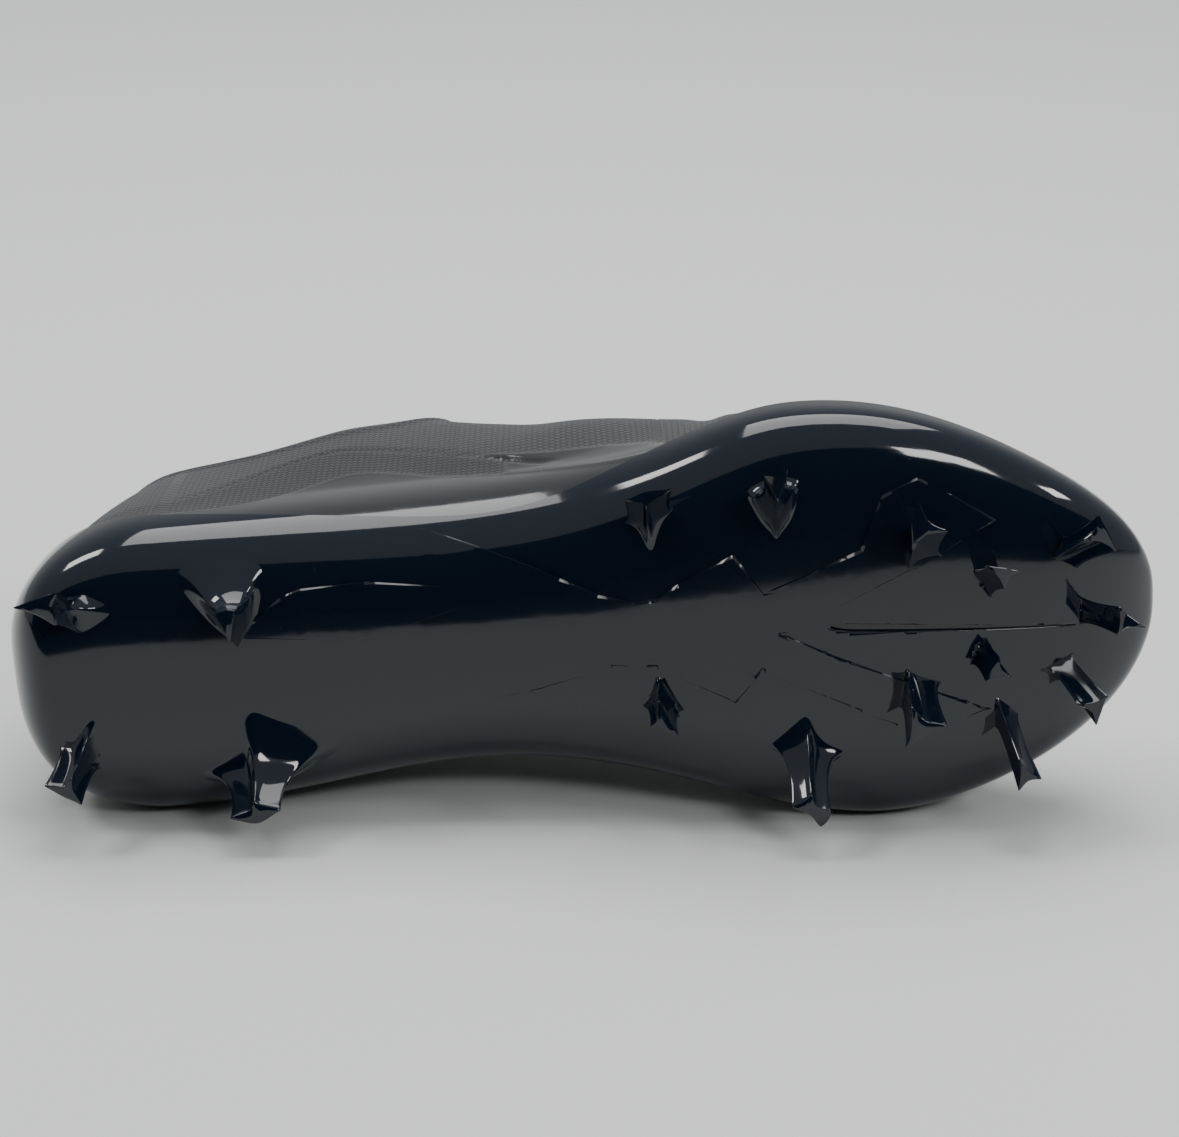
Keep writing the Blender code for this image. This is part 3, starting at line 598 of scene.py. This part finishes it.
def knit_height(s):
    """Rows of small slanted stitches along the run of the upper."""
    u, v = s.run()
    pitch = 2 * math.pi / STITCH
    slant = (v * (pitch / 2)).math("SINE").math("ABSOLUTE")
    row = (u * pitch + slant * 1.6).math("SINE") * 0.5 + 0.5
    course = (v * pitch).math("SINE") * 0.5 + 0.5
    return row * 0.7 + course * 0.3


def knit_shader():
    """Dark grey knit, paler at a glance along it."""
    colour = (0.046, 0.049, 0.052)
    s = Shader("knit_weave")
    height = knit_height(s)
    fuzz = s.noise(1400, 3, 0.6)
    patch = s.noise(45, 2, 0.5)
    dark = tuple(0.45 * c for c in colour)
    # The knit's colour follows its stitch heights: partly the stitch pattern, partly painted shade, as dark
    # is a shaded copy of colour laid in the stitches' hollows; patch adds random tone
    s.set(Base_Color=s.mix(height * 0.75 + patch * 0.3, dark, colour), Roughness=0.82, Sheen_Weight=0.9,
          Sheen_Roughness=0.35, Sheen_Tint=(0.55, 0.57, 0.60), Specular_IOR_Level=0.3)
    s.bump(height * 0.8 + fuzz * 0.25, 0.0005, 0.9)
    return s


def upper_shader():
    """The upper's outside: knit above, glossy skin below, told apart by its own marks."""
    s = Shader("upper_knit_and_skin")
    height = knit_height(s)
    skin = s.attribute("skin")
    band = s.attribute("band")
    fuzz = s.noise(1400, 3, 0.6)
    patch = s.noise(45, 2, 0.5)
    # Both knit colours follow the stitch heights: partly the stitch pattern, partly painted shade in the
    # stitches' hollows; patch adds random tone, and the band is a darker knit
    cloth = s.mix(height * 0.7 + patch * 0.3, (0.020, 0.021, 0.023), (0.055, 0.058, 0.062))
    cloth = s.mix(band, cloth, s.mix(height, (0.010, 0.011, 0.013), (0.030, 0.032, 0.036)))
    haze = s.noise(60, 3, 0.6)
    s.set(Base_Color=s.mix(skin, cloth, (0.004, 0.0065, 0.011)),
          Roughness=(1 - skin) * 0.80 + skin * (haze * 0.10 + 0.08), Sheen_Weight=0.35, Sheen_Roughness=0.4,
          Sheen_Tint=(0.55, 0.57, 0.60), Coat_Weight=skin * 0.5, Coat_Roughness=0.04)
    s.bump((1 - skin) * (height * 0.8 + fuzz * 0.2) + skin * s.noise(70, 3, 0.5) * 0.35, 0.0005, 0.8)
    return s


def lining_shader():
    """Fine dark lining cloth."""
    s = Shader("lining_cloth")
    grain = s.noise(1800, 2, 0.6)
    s.set(Base_Color=s.mix(grain, (0.010, 0.010, 0.011), (0.032, 0.032, 0.034)), Roughness=0.9,
          Sheen_Weight=0.4, Sheen_Roughness=0.5)
    s.bump(grain, 0.0003, 0.6)
    return s


def film_shader():
    """Satin film with a fine grain."""
    s = Shader("film_satin")
    grain = s.noise(1500, 2, 0.5)
    s.set(Base_Color=s.mix(s.noise(80, 2), (0.008, 0.009, 0.011), (0.014, 0.015, 0.017)),
          Roughness=grain * 0.12 + 0.30, Coat_Weight=0.1)
    s.bump(grain, 0.0001, 0.5)
    return s


def cord_shader():
    """Flat woven lace."""
    s = Shader("woven_lace")
    u, v = s.run()
    pitch = 2 * math.pi / LACE_WEAVE
    weave = ((u + v) * pitch).math("SINE") * ((u - v) * pitch).math("SINE") * 0.5 + 0.5
    # The lace's colour follows the weave's height: partly the weave's pattern, partly painted shade in its
    # hollows
    s.set(Base_Color=s.mix(weave, (0.006, 0.006, 0.007), (0.026, 0.026, 0.028)), Roughness=0.75,
          Sheen_Weight=0.5, Sheen_Roughness=0.4)
    s.bump(weave, 0.0004, 0.8)
    return s


def groove_cutter(finish):
    """A tapered trough along the middle of the forefoot."""
    share = np.linspace(0, 1, 40)
    x = (GROOVE[0][0] + (GROOVE[1][0] - GROOVE[0][0]) * share) * LENGTH
    y = (GROOVE[0][1] + (GROOVE[1][1] - GROOVE[0][1]) * share) * BALL_WIDTH
    start = np.stack([x, y, SHAPE["wide"](x / LENGTH) * INSTEP_HEIGHT], -1)
    floor = PLATE_OUTER.reach(start, np.broadcast_to([0.0, 0, -1], start.shape))
    half = GROOVE_WIDTH / 2 * (1 - 0.92 * share ** 1.2) * np.sqrt(np.clip(share * 12, 0.1, 1))
    deep = GROOVE_DEPTH * (1 - 0.85 * share ** 2)
    mouth, bed, outside = 1.25, 0.55, -0.001
    rows = [floor + np.stack([0 * x, half * aside, 0 * x + high], -1)
            for aside, high in ((-mouth, outside), (mouth, outside), (bed, deep), (-bed, deep))]
    return piece("groove_cutter", np.stack(rows, 1), tube(len(x), len(rows)), finish)


def cut(thing, cutters):
    """Cuts pieces out of another for good."""
    for cutter in cutters:
        change = thing.modifiers.new(cutter.name, "BOOLEAN")
        change.operation = "DIFFERENCE"
        change.solver = "EXACT"
        change.object = cutter
    bpy.context.view_layer.update()
    mesh = bpy.data.meshes.new_from_object(thing.evaluated_get(bpy.context.evaluated_depsgraph_get()))
    thing.modifiers.clear()
    thing.data = mesh
    for cutter in cutters:
        bpy.data.objects.remove(cutter)


def make_plate(finish):
    """The moulded plate, inside and out."""
    around = stations(170, 120, 90)
    curves = meridians(LAST, around)
    rim = crossing(curves[..., 2] - line_height("rim", curves))
    at = places(curves, 0 * rim, rim, np.linspace(0, 1, 97))
    outer = sample(meridians(PLATE_OUTER, around), at)
    inner = sample(meridians(PLATE_INNER, around), at[:, ::4])
    lip = (outer[:, -1] + inner[:, -1]) / 2
    lip[:, 2] += 0.0005
    points = np.concatenate([outer.reshape(-1, 3), inner.reshape(-1, 3), lip])
    rows, columns, inside = len(outer), outer.shape[1], inner.shape[1]
    start = rows * columns
    top = start + rows * inside
    faces = grid(rows, columns) + grid(rows, inside, offset=start, flip=True)
    crest = range(top, top + rows)
    faces += strip(range(columns - 1, start, columns), crest)
    faces += strip(crest, range(start + inside - 1, top, inside))
    points, faces = welded(points, faces)
    thing = piece("plate_shell", points, faces, finish, angle=35)
    cut(thing, [groove_cutter(finish)])
    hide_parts("outsole_plate")
    return thing


def welded(points, faces):
    """Points that fall together joined, and the faces that this flattens cleaned."""
    _, first, same = np.unique(np.round(points, 6) + 0.0, axis=0, return_index=True, return_inverse=True)
    weld = first[same.ravel()]
    kept = []
    for face in faces:
        ring = [int(weld[k]) for k in face]
        ring = [k for i, k in enumerate(ring) if k != ring[i - 1]]
        if len(ring) > 2:
            kept.append(tuple(ring))
    return points, kept


def star(prongs, which, turns, hollow, least, blunt):
    """Radii of an outline with a point at each prong, and hollow sides where prongs stand far apart.

    Of each prong, which picks the reach: 1 at the tip, 2 at the root. least is a share of STUD_HEIGHT, and
    blunt is in degrees.
    """
    order = sorted((math.radians(prong[0]) % (2 * math.pi), prong[which] * STUD_HEIGHT) for prong in prongs)
    radius = np.zeros(len(turns))
    for (start, near), (stop, far) in zip(order, order[1:] + order[:1]):
        gap = (stop - start) % (2 * math.pi)
        share = ((turns - start) % (2 * math.pi)) / gap
        inverse = (1 - share) / near + share / far
        wide = float(np.clip((math.degrees(gap) - HOLLOW_FROM) / HOLLOW_OVER, 0, 1))
        bowed = 1 / (inverse * (1 + hollow * wide * np.sin(math.pi * np.clip(share, 0, 1)) ** 0.8))
        radius = np.where(share < 1, bowed, radius)
    radius = np.maximum(radius, least * STUD_HEIGHT)
    away = np.angle(np.exp(1j * (turns[:, None] - turns[None, :])))
    share = np.exp(-(away / math.radians(blunt)) ** 2)
    return (share * radius[None, :]).sum(axis=1) / share.sum(axis=1)


def make_stud(row, finish):
    """A stud of thin blades that flares softly into the plate."""
    name, at, side, tip_height, prongs = row
    centre = np.array([at * LENGTH, side * BALL_WIDTH, tip_height * STUD_HEIGHT])
    turns = np.linspace(0, 2 * math.pi, 144, endpoint=False)
    tip = star(prongs, 1, turns, hollow=2.4, least=0.09, blunt=4)
    root = star(prongs, 2, turns, hollow=1.5, least=0.30, blunt=7) + 0.10 * STUD_HEIGHT
    way = np.stack([np.cos(turns), np.sin(turns), 0 * turns], -1)
    along = 0.3 * np.clip(centre[0], SPINE_HEEL * LENGTH, SPINE_TOE * LENGTH) + 0.7 * centre[0]
    heart = np.array([along, 0.3 * centre[1], SHAPE["wide"](at) * INSTEP_HEIGHT])

    def on_plate(reach):
        ray = centre + way * reach[:, None] - heart
        ray = ray / np.linalg.norm(ray, axis=-1, keepdims=True)
        return PLATE_OUTER.reach(np.broadcast_to(heart, ray.shape), ray)

    top = centre + way * tip[:, None]
    stem = top - on_plate(tip)
    bevel, crown, proud, sunk = 0.90, 0.0002, 0.00012, 0.0004
    rows = [centre + way * (tip * bevel)[:, None] - np.array([0, 0, crown]), top]
    for share in np.linspace(0, 1, 26)[1:]:
        spot = on_plate(tip + (root - tip) * share ** 1.8)
        spot = spot + PLATE_OUTER.normal(spot) * (proud - sunk * share ** 6)
        rows.append(spot + stem * (1 - share) ** 2)
    closed_at_tip = tube(len(rows), len(turns))[:-1]
    thing = piece("stud_" + name, np.array(rows), closed_at_tip, finish, angle=50)
    return thing


def make_panel(name, outline, height, finish, fade=None):
    """A thin raised panel with a bevelled edge on the plate's outside, which may fade out to the back."""
    bevel, mesh_step, sunk = 0.0009, 0.003, 0.0003
    corners = np.asarray(outline) * (LENGTH, BALL_WIDTH)
    work = bmesh.new()
    ring = [work.verts.new((x, y, 0)) for x, y in corners]
    face = work.faces.new(ring)
    work.normal_update()
    bmesh.ops.inset_individual(work, faces=[face], thickness=bevel, use_even_offset=True)
    bmesh.ops.triangulate(work, faces=work.faces[:])
    low, high = corners.min(axis=0), corners.max(axis=0)
    for axis in (0, 1):
        for place in np.arange(low[axis] + mesh_step, high[axis], mesh_step):
            spot, normal = [0, 0, 0], [0, 0, 0]
            spot[axis], normal[axis] = place, 1
            bmesh.ops.bisect_plane(work, geom=work.verts[:] + work.edges[:] + work.faces[:], plane_co=spot,
                                   plane_no=normal)
    bmesh.ops.triangulate(work, faces=[f for f in work.faces if len(f.verts) > 4])
    work.verts.index_update()
    flat = np.array([(v.co.x, v.co.y, 0) for v in work.verts])
    faces = [tuple(v.index for v in f.verts) for f in work.faces]
    on_rim = np.array([v.is_boundary for v in work.verts])
    work.free()
    start = flat.copy()
    start[:, 2] = SHAPE["wide"](flat[:, 0] / LENGTH) * INSTEP_HEIGHT
    start[:, 1] *= 0.5
    goal = flat.copy()
    goal[:, 2] = STUD_HEIGHT + SHAPE["spring"](flat[:, 0] / LENGTH) * TOE_SPRING
    ray = goal - start
    ray /= np.linalg.norm(ray, axis=-1, keepdims=True)
    points = PLATE_OUTER.reach(start, ray)
    full = smooth(flat[:, 0] / LENGTH, *fade) if fade else 1.0
    lift = np.where(on_rim, -sunk, height * full - sunk * (1 - full))
    points = points + PLATE_OUTER.normal(points) * lift[:, None]
    thing = piece(name, points, faces, finish, angle=25)
    return thing


def throat_half(x):
    """Half the throat's width, widening into the collar."""
    return THROAT_HALF + 0.004 * smooth(COLLAR_FRONT + 0.006 - x, 0, 0.006)


def upper_marks(base):
    """Shares of skin and of the band over it, and the heights of the skin's top and of the seam."""
    x, z = base[..., 0], base[..., 2]
    skin_edge, seam_edge = line_height("skin", base), line_height("seam", base)
    film_edge = np.interp(x, column(FILM, "at") * LENGTH, column(FILM, "top") * INSTEP_HEIGHT)
    blur, fine = 0.001, 0.0006
    band = smooth(z, skin_edge, skin_edge + blur) * (1 - smooth(z, seam_edge - blur, seam_edge))
    side_band = band * (1 - smooth(x, 0.126, 0.129))
    back, front = FILM[1][0] * LENGTH, FILM[-1][0] * LENGTH
    film = smooth(x, back - blur, back + blur) * (1 - smooth(x, front - blur, front)) * (1 - side_band)
    film = film * (1 - smooth(z, film_edge - fine, film_edge + fine))
    skin = np.maximum(1 - smooth(z, skin_edge - fine, skin_edge + fine), film)
    return skin, band, skin_edge, seam_edge


def upper_relief(base, skin, skin_edge, seam_edge):
    """How far the outside stands out from the last: skin, seams, creases and the cuff's roll."""
    x, y, z = base[..., 0], base[..., 1], base[..., 2]
    seam_deep, welt, cuff_roll = 0.0007, 0.0004, 0.0007
    side = smooth(x, 0.03, 0.06) * (1 - smooth(x, 0.136, 0.144))
    out = SKIN_STEP * skin - seam_deep * bell(z, seam_edge, 0.0009) * side
    out = out + welt * bell(z, skin_edge + 0.0004, 0.0008)
    aside = np.abs(y + leaning(x, z - SHAPE["wide"](x / LENGTH) * INSTEP_HEIGHT))
    eyestay_edge = THROAT_HALF + EYESTAY_WIDTH
    clear = smooth(aside, eyestay_edge, eyestay_edge + 0.008)
    for _, along, width, slant, low, high, height in CREASES[1:]:
        out = out + height * clear * bell(x + slant * np.abs(y), along, width) * smooth(z, low, high)
    up = np.linspace(0, 1, base.shape[1])
    return out + cuff_roll * bell(up, 0.955, 0.020) * (x < COLLAR_FRONT)


def make_upper(outside, inside):
    """The hollow upper with its skin, seams, soft creases and rolled collar."""
    around = stations(150, 70, 56)
    curves = meridians(LAST, around, 201)
    x, y, z = curves[..., 0], curves[..., 1], curves[..., 2]
    wide = SHAPE["wide"](x / LENGTH) * INSTEP_HEIGHT
    rim = crossing(z - line_height("rim", curves))
    collar = crossing(z - line_height("collar", curves, COLLAR_HEIGHT))
    past = np.maximum(x - (THROAT_FRONT - THROAT_HALF), 0)
    aside = y + leaning(x, z - wide)
    open_front = (z > wide) & (x > COLLAR_FRONT) & (x < THROAT_FRONT)
    throat = crossing(np.where(open_front, throat_half(x) - np.hypot(past, aside), -1.0))
    edge = np.minimum(collar, throat)
    hidden = places(curves, 0 * rim, rim, np.linspace(0.62, 0.96, 6))
    shown = places(curves, places(curves, 0 * rim, rim, [0.985])[:, 0], edge, np.linspace(0, 1, 100))
    base = sample(curves, np.concatenate([hidden, shown], axis=1))
    normals = LAST.normal(base)
    skin, band, skin_edge, seam_edge = upper_marks(base)
    out = upper_relief(base, skin, skin_edge, seam_edge)
    outer = base + normals * out[..., None]
    every = 3
    inner = base[:, ::every] - normals[:, ::every] * (UPPER_WALL - 0.3 * out[:, ::every])[..., None]
    if (base.shape[1] - 1) % every:
        raise ValueError("rows of the inner wall must end at the collar")
    beyond = outer[:, -1] - outer[:, -2]
    beyond /= np.maximum(np.linalg.norm(beyond, axis=-1, keepdims=True), 1e-9)
    roll = 0.0009
    lip = (outer[:, -1] + inner[:, -1]) / 2 + beyond * roll
    rows, columns, few = len(outer), outer.shape[1], inner.shape[1]
    start = rows * columns
    top = start + rows * few
    faces = grid(rows, columns)
    outside_faces = len(faces)
    faces += grid(rows, few, offset=start, flip=True)
    crest = range(top, top + rows)
    faces += strip(range(columns - 1, start, columns), crest)
    faces += strip(crest, range(start + few - 1, top, few))
    faces += strip(range(start, top, few), range(0, start, columns))
    points = np.concatenate([outer.reshape(-1, 3), inner.reshape(-1, 3), lip])
    slots = np.array([0] * outside_faces + [1] * (len(faces) - outside_faces), int)
    run = runs(outer).reshape(rows, columns, 2)
    uv = np.concatenate([run.reshape(-1, 2), run[:, ::every].reshape(-1, 2), run[:, -1]])
    marks = {}
    for key, value in (("skin", skin), ("band", band)):
        flat = np.zeros(len(points))
        flat[:start] = value.ravel()
        marks[key] = flat
    thing = piece("upper_shell", points, faces, [outside, inside], angle=60, slots=slots, uv=uv, marks=marks)
    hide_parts("upper")
    return thing


def arched(form, x, y):
    """A point of the form over the foot, y measured from its leaning middle."""
    lateral, medial, wide, _, rise, _, power = form.section(x)
    up = rise * (1 - (np.abs(y) / np.where(y > 0, medial, lateral)) ** power) ** (1 / power)
    return np.stack([x, y - leaning(x, up), wide + up], -1)


def sheet_piece(name, outer, inner, finish, angle=50):
    """A closed sheet between two grids of points."""
    rows, columns = outer.shape[:2]
    count = rows * columns
    faces = grid(rows, columns, closed=False) + grid(rows, columns, closed=False, offset=count, flip=True)
    border = [i * columns for i in range(rows)] + [(rows - 1) * columns + j for j in range(1, columns)]
    border += [i * columns + columns - 1 for i in range(rows - 2, -1, -1)] + list(range(columns - 2, 0, -1))
    for i, a in enumerate(border):
        b = border[(i + 1) % len(border)]
        faces.append((a, b, b + count, a + count))
    points = np.concatenate([outer.reshape(-1, 3), inner.reshape(-1, 3)])
    uv = np.concatenate([runs(outer), runs(inner)])
    return piece(name, points, faces, finish, angle=angle, uv=uv)


def make_tongue(finish):
    """The padded knit tongue, fuller at its top."""
    rows, columns = 90, 50
    x = np.linspace(THROAT_FRONT + TONGUE_TUCK, COLLAR_FRONT - TONGUE_RISE, rows)
    across = np.linspace(-1, 1, columns)
    share = np.linspace(0, 1, rows)
    round_end = np.sqrt(1 - np.clip((share - 0.86) / 0.17, 0, 1) ** 2)
    x, y = np.meshgrid(x, across * TONGUE_HALF, indexing="ij")
    y = y * round_end[:, None]
    outer, inner = arched(TONGUE_OUTER, x, y), arched(TONGUE_INNER, x, y)
    soft_edge = np.sqrt(np.clip(1 - np.abs(across) ** 6, 0, 1))[None, :] * np.sqrt(
        np.clip(1 - share ** 14, 0, 1))[:, None]
    middle = (outer + inner) / 2
    outer = middle + (outer - middle) * (0.25 + 0.75 * soft_edge)[..., None]
    inner = middle + (inner - middle) * (0.25 + 0.75 * soft_edge)[..., None]
    thing = sheet_piece("tongue_pad", outer, inner, finish)
    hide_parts("tongue")
    return thing


def eyelet_places():
    """Middles of the eyelets, from the front pair to the top pair, lateral then medial."""
    run = np.linspace(THROAT_FRONT - 0.006, COLLAR_FRONT + 0.009, EYELET_PAIRS)
    reach = THROAT_HALF + EYELET_INSET
    return [(x, side * reach) for x in run for side in (-1, 1)]


def seat(form, x, y):
    """Middle and axes, ahead, beside and up, of the form over the foot at a place."""
    step = 0.001
    middle = arched(form, np.array(x), np.array(y))
    ahead = arched(form, np.array(x + step), np.array(y)) - middle
    beside = arched(form, np.array(x), np.array(y + step)) - middle
    up = np.cross(ahead, beside)
    up = up / np.linalg.norm(up)
    ahead = ahead / np.linalg.norm(ahead)
    return middle, ahead, np.cross(up, ahead), up


def make_eyestay(finish):
    """The film band around the throat, punched for the lace."""
    front = THROAT_FRONT - THROAT_HALF
    side_steps, arc_steps, across_steps = 44, 30, 12
    straight = np.linspace(COLLAR_FRONT + GAP, front, side_steps, endpoint=False)
    turn = np.linspace(-math.pi / 2, math.pi / 2, arc_steps + 1)
    run = np.concatenate([straight, np.full(arc_steps + 1, front), straight[::-1]])
    heading = np.concatenate([np.full(side_steps, -math.pi / 2), turn, np.full(side_steps, math.pi / 2)])
    reach = np.linspace(THROAT_HALF + GAP, THROAT_HALF + EYESTAY_WIDTH, across_steps)
    x = run[:, None] + reach * np.cos(heading)[:, None]
    y = reach * np.sin(heading)[:, None]
    outer, inner = arched(EYESTAY_OUTER, x, y), arched(EYESTAY_INNER, x, y)
    thing = sheet_piece("eyestay_band", outer, inner, finish, angle=35)
    cutters = []
    for number, (px, py) in enumerate(eyelet_places()):
        middle, ahead, beside, up = seat(LAST, px, py)
        turns = np.linspace(0, 2 * math.pi, 20, endpoint=False)
        circle = ahead * np.cos(turns)[:, None] + beside * np.sin(turns)[:, None]
        ends = [middle + circle * EYELET_HOLE / 2 + up * lift for lift in (-0.006, 0.006)]
        cutter = piece(f"punch_{number:02d}", np.concatenate(ends), tube(2, len(turns)), finish)
        cutters.append(cutter)
    cut(thing, cutters)
    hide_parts("eyestay")
    return thing


def ribbon(path, sides, ups):
    """A flat lace of rounded section along a path."""
    turns = np.linspace(0, 2 * math.pi, 14, endpoint=False)
    squash = np.sign(np.cos(turns)) * np.abs(np.cos(turns)) ** 0.6 * LACE_WIDTH / 2
    thick = np.sign(np.sin(turns)) * np.abs(np.sin(turns)) ** 0.8 * LACE_THICKNESS / 2
    points = path[:, None] + sides[:, None] * squash[None, :, None] + ups[:, None] * thick[None, :, None]
    rows, count = points.shape[:2]
    along = np.concatenate([[0], np.cumsum(np.linalg.norm(np.diff(path, axis=0), axis=1))])
    uv = np.stack([np.repeat(along, count), np.tile(squash, rows)], -1)
    return points.reshape(-1, 3), tube(rows, count), uv


def make_laces(finish):
    """The lace, crossed over the throat and down through each eyelet."""
    clearance, under_eyelet, narrowing = 0.0002, 0.0048, 0.45
    over = Form(side=EYESTAY_SEAT + EYESTAY_THICKNESS + LACE_THICKNESS / 2 + clearance)
    spots = eyelet_places()
    pairs = [(0, 1, 0.0)]
    for pair in range(EYELET_PAIRS - 1):
        pairs += [(2 * pair, 2 * pair + 3, 0.15), (2 * pair + 1, 2 * pair + 2, 1.15)]
    points, faces, uvs = [], [], []
    for near, far, lift in pairs:
        start, stop = np.array(spots[near]), np.array(spots[far])
        path, sides, ups = [], [], []
        for share in np.linspace(0, 1, 31):
            spot = start + (stop - start) * share
            middle, _, _, up = seat(over, spot[0], spot[1])
            ends = min(share, 1 - share)
            dive = 1 - smooth(ends, 0, 0.09)
            hump = smooth(ends, 0.04, 0.30)
            path.append(middle + up * (lift * hump * LACE_THICKNESS * 1.1 - dive * under_eyelet))
            way = np.array([*(stop - start), 0.0])
            side = np.cross(up, way)
            sides.append(side / np.linalg.norm(side) * (1 - narrowing * dive))
            ups.append(up)
        made, ring, uv = ribbon(np.array(path), np.array(sides), np.array(ups))
        offset = sum(len(p) for p in points)
        points.append(made)
        faces += [tuple(k + offset for k in face) for face in ring]
        uvs.append(uv)
    thing = piece("lace_crossings", np.concatenate(points), faces, finish, angle=70, uv=np.concatenate(uvs))
    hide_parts("laces")
    return thing


def make_insole(finish):
    """The sock liner with a soft rim."""
    around = stations(60, 40, 30)
    curves = meridians(LAST, around)
    rim = crossing(curves[..., 2] - line_height("rim", curves))
    at = places(curves, 0 * rim, rim, np.linspace(0, 0.70, 30))
    under = sample(meridians(FOOTBED, around), at)
    over = under + np.array([0, 0, INSOLE_THICKNESS])
    over[:, -1, :2] += 0.35 * (over[:, -2, :2] - over[:, -1, :2])
    over[:, -1, 2] -= 0.0008
    rows, columns = under.shape[:2]
    count = rows * columns
    faces = grid(rows, columns) + grid(rows, columns, offset=count, flip=True)
    faces += strip(range(columns - 1, count, columns), range(count + columns - 1, 2 * count, columns))
    points = np.concatenate([under.reshape(-1, 3), over.reshape(-1, 3)])
    points, faces = welded(points, faces)
    thing = piece("sock_liner", points, faces, finish, angle=50)
    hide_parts("insole")
    return thing


def area_light(name, place, goal, size, power):
    """A soft light that faces a point."""
    data = bpy.data.lights.new(name, "AREA")
    data.shape = "RECTANGLE"
    data.size, data.size_y = size
    data.energy = power
    lamp = bpy.data.objects.new(name, data)
    bpy.context.collection.objects.link(lamp)
    lamp.location = place
    lamp.rotation_euler = (Vector(goal) - Vector(place)).to_track_quat("-Z", "Y").to_euler()


def stage_sheet(name, corners, colour, rough):
    """A plain sheet of the stage."""
    s = Shader(name)
    s.set(Base_Color=colour, Roughness=rough, Specular_IOR_Level=0.25)
    mesh = bpy.data.meshes.new(name)
    mesh.from_pydata(corners, [], [tuple(range(len(corners)))])
    mesh.materials.append(s.material)
    sheet = bpy.data.objects.new(name, mesh)
    bpy.context.collection.objects.link(sheet)


def make_stage():
    """A plain pale floor, and out of view in front of it a dark ground and a dark upright sheet: painted
    shade that stands in for the dim space in front of the shoe, which the glossy plate reflects.
    """
    far, half, back, low, high = 6.0, 5.0, -1.6, -0.01, 1.3
    # dark is painted shade, the colour of the two sheets that stand in for the dim space in front of the shoe
    pale, dark = (0.70, 0.72, 0.705), (0.012, 0.013, 0.016)
    edge = [(-half, -0.24, 0), (-0.35, -0.24, 0), (0.35, -0.62, 0), (half, -0.62, 0)]
    stage_sheet("pale_floor", edge + [(half, far, 0), (-half, far, 0)], pale, 0.65)
    front = [(-half, back, low), (half, back, low)]
    stage_sheet("painted_shade_ground", front + [(half, 0, low), (-half, 0, low)], dark, 0.9)
    stage_sheet("painted_shade_upright", front + [(half, back, high), (-half, back, high)], dark, 0.9)


def make_world():
    """Even pale surroundings."""
    world = bpy.data.worlds.new("studio")
    world.use_nodes = True
    bpy.context.scene.world = world
    back = world.node_tree.nodes["Background"]
    back.inputs["Color"].default_value = (0.80, 0.82, 0.82, 1)
    back.inputs["Strength"].default_value = 0.53


def make_camera():
    """The photo's view: a little above the sole's middle."""
    data = bpy.data.cameras.new("camera")
    data.sensor_width = 36
    data.lens = 82.7
    photo_width, shifted = 1179, 55
    data.shift_y = shifted / photo_width
    camera = bpy.data.objects.new("camera", data)
    bpy.context.collection.objects.link(camera)
    rise, away = math.radians(24), 0.70
    target = Vector((0.002, -0.0276, 0.05))
    back = Vector((0, -math.cos(rise), math.sin(rise)))
    camera.location = target + back * away
    camera.rotation_euler = (-back).to_track_quat("-Z", "Y").to_euler()
    bpy.context.scene.camera = camera


def main():
    make_camera()
    make_stage()
    make_world()
    area_light("overhead", (0.1, 0.5, 1.7), (0, 0, 0), (1.6, 1.2), 29)
    area_light("window_heel", (-1.05, 0.06, 1.37), (-0.12, -0.04, 0.07), (0.34, 0.42), 7)
    area_light("window_toe", (0.71, -0.88, 0.85), (0.09, -0.03, 0.10), (0.42, 0.20), 4)
    area_light("window_side", (1.24, -0.38, 0.84), (0.12, -0.03, 0.09), (0.30, 0.16), 3)
    gloss = moulded_shader()
    make_plate(gloss)
    for row in STUDS[1:]:
        make_stud(row, gloss)
    make_panel("chassis_panel", CHASSIS, PANEL_STEP, gloss, fade=(0.31, 0.45))
    make_panel("heel_panel", HEEL_PANEL, HEEL_PANEL_STEP, gloss)
    lining = lining_shader()
    make_upper(upper_shader(), lining)
    make_insole(lining)
    make_tongue(knit_shader())
    make_eyestay(film_shader())
    make_laces(cord_shader())


main()
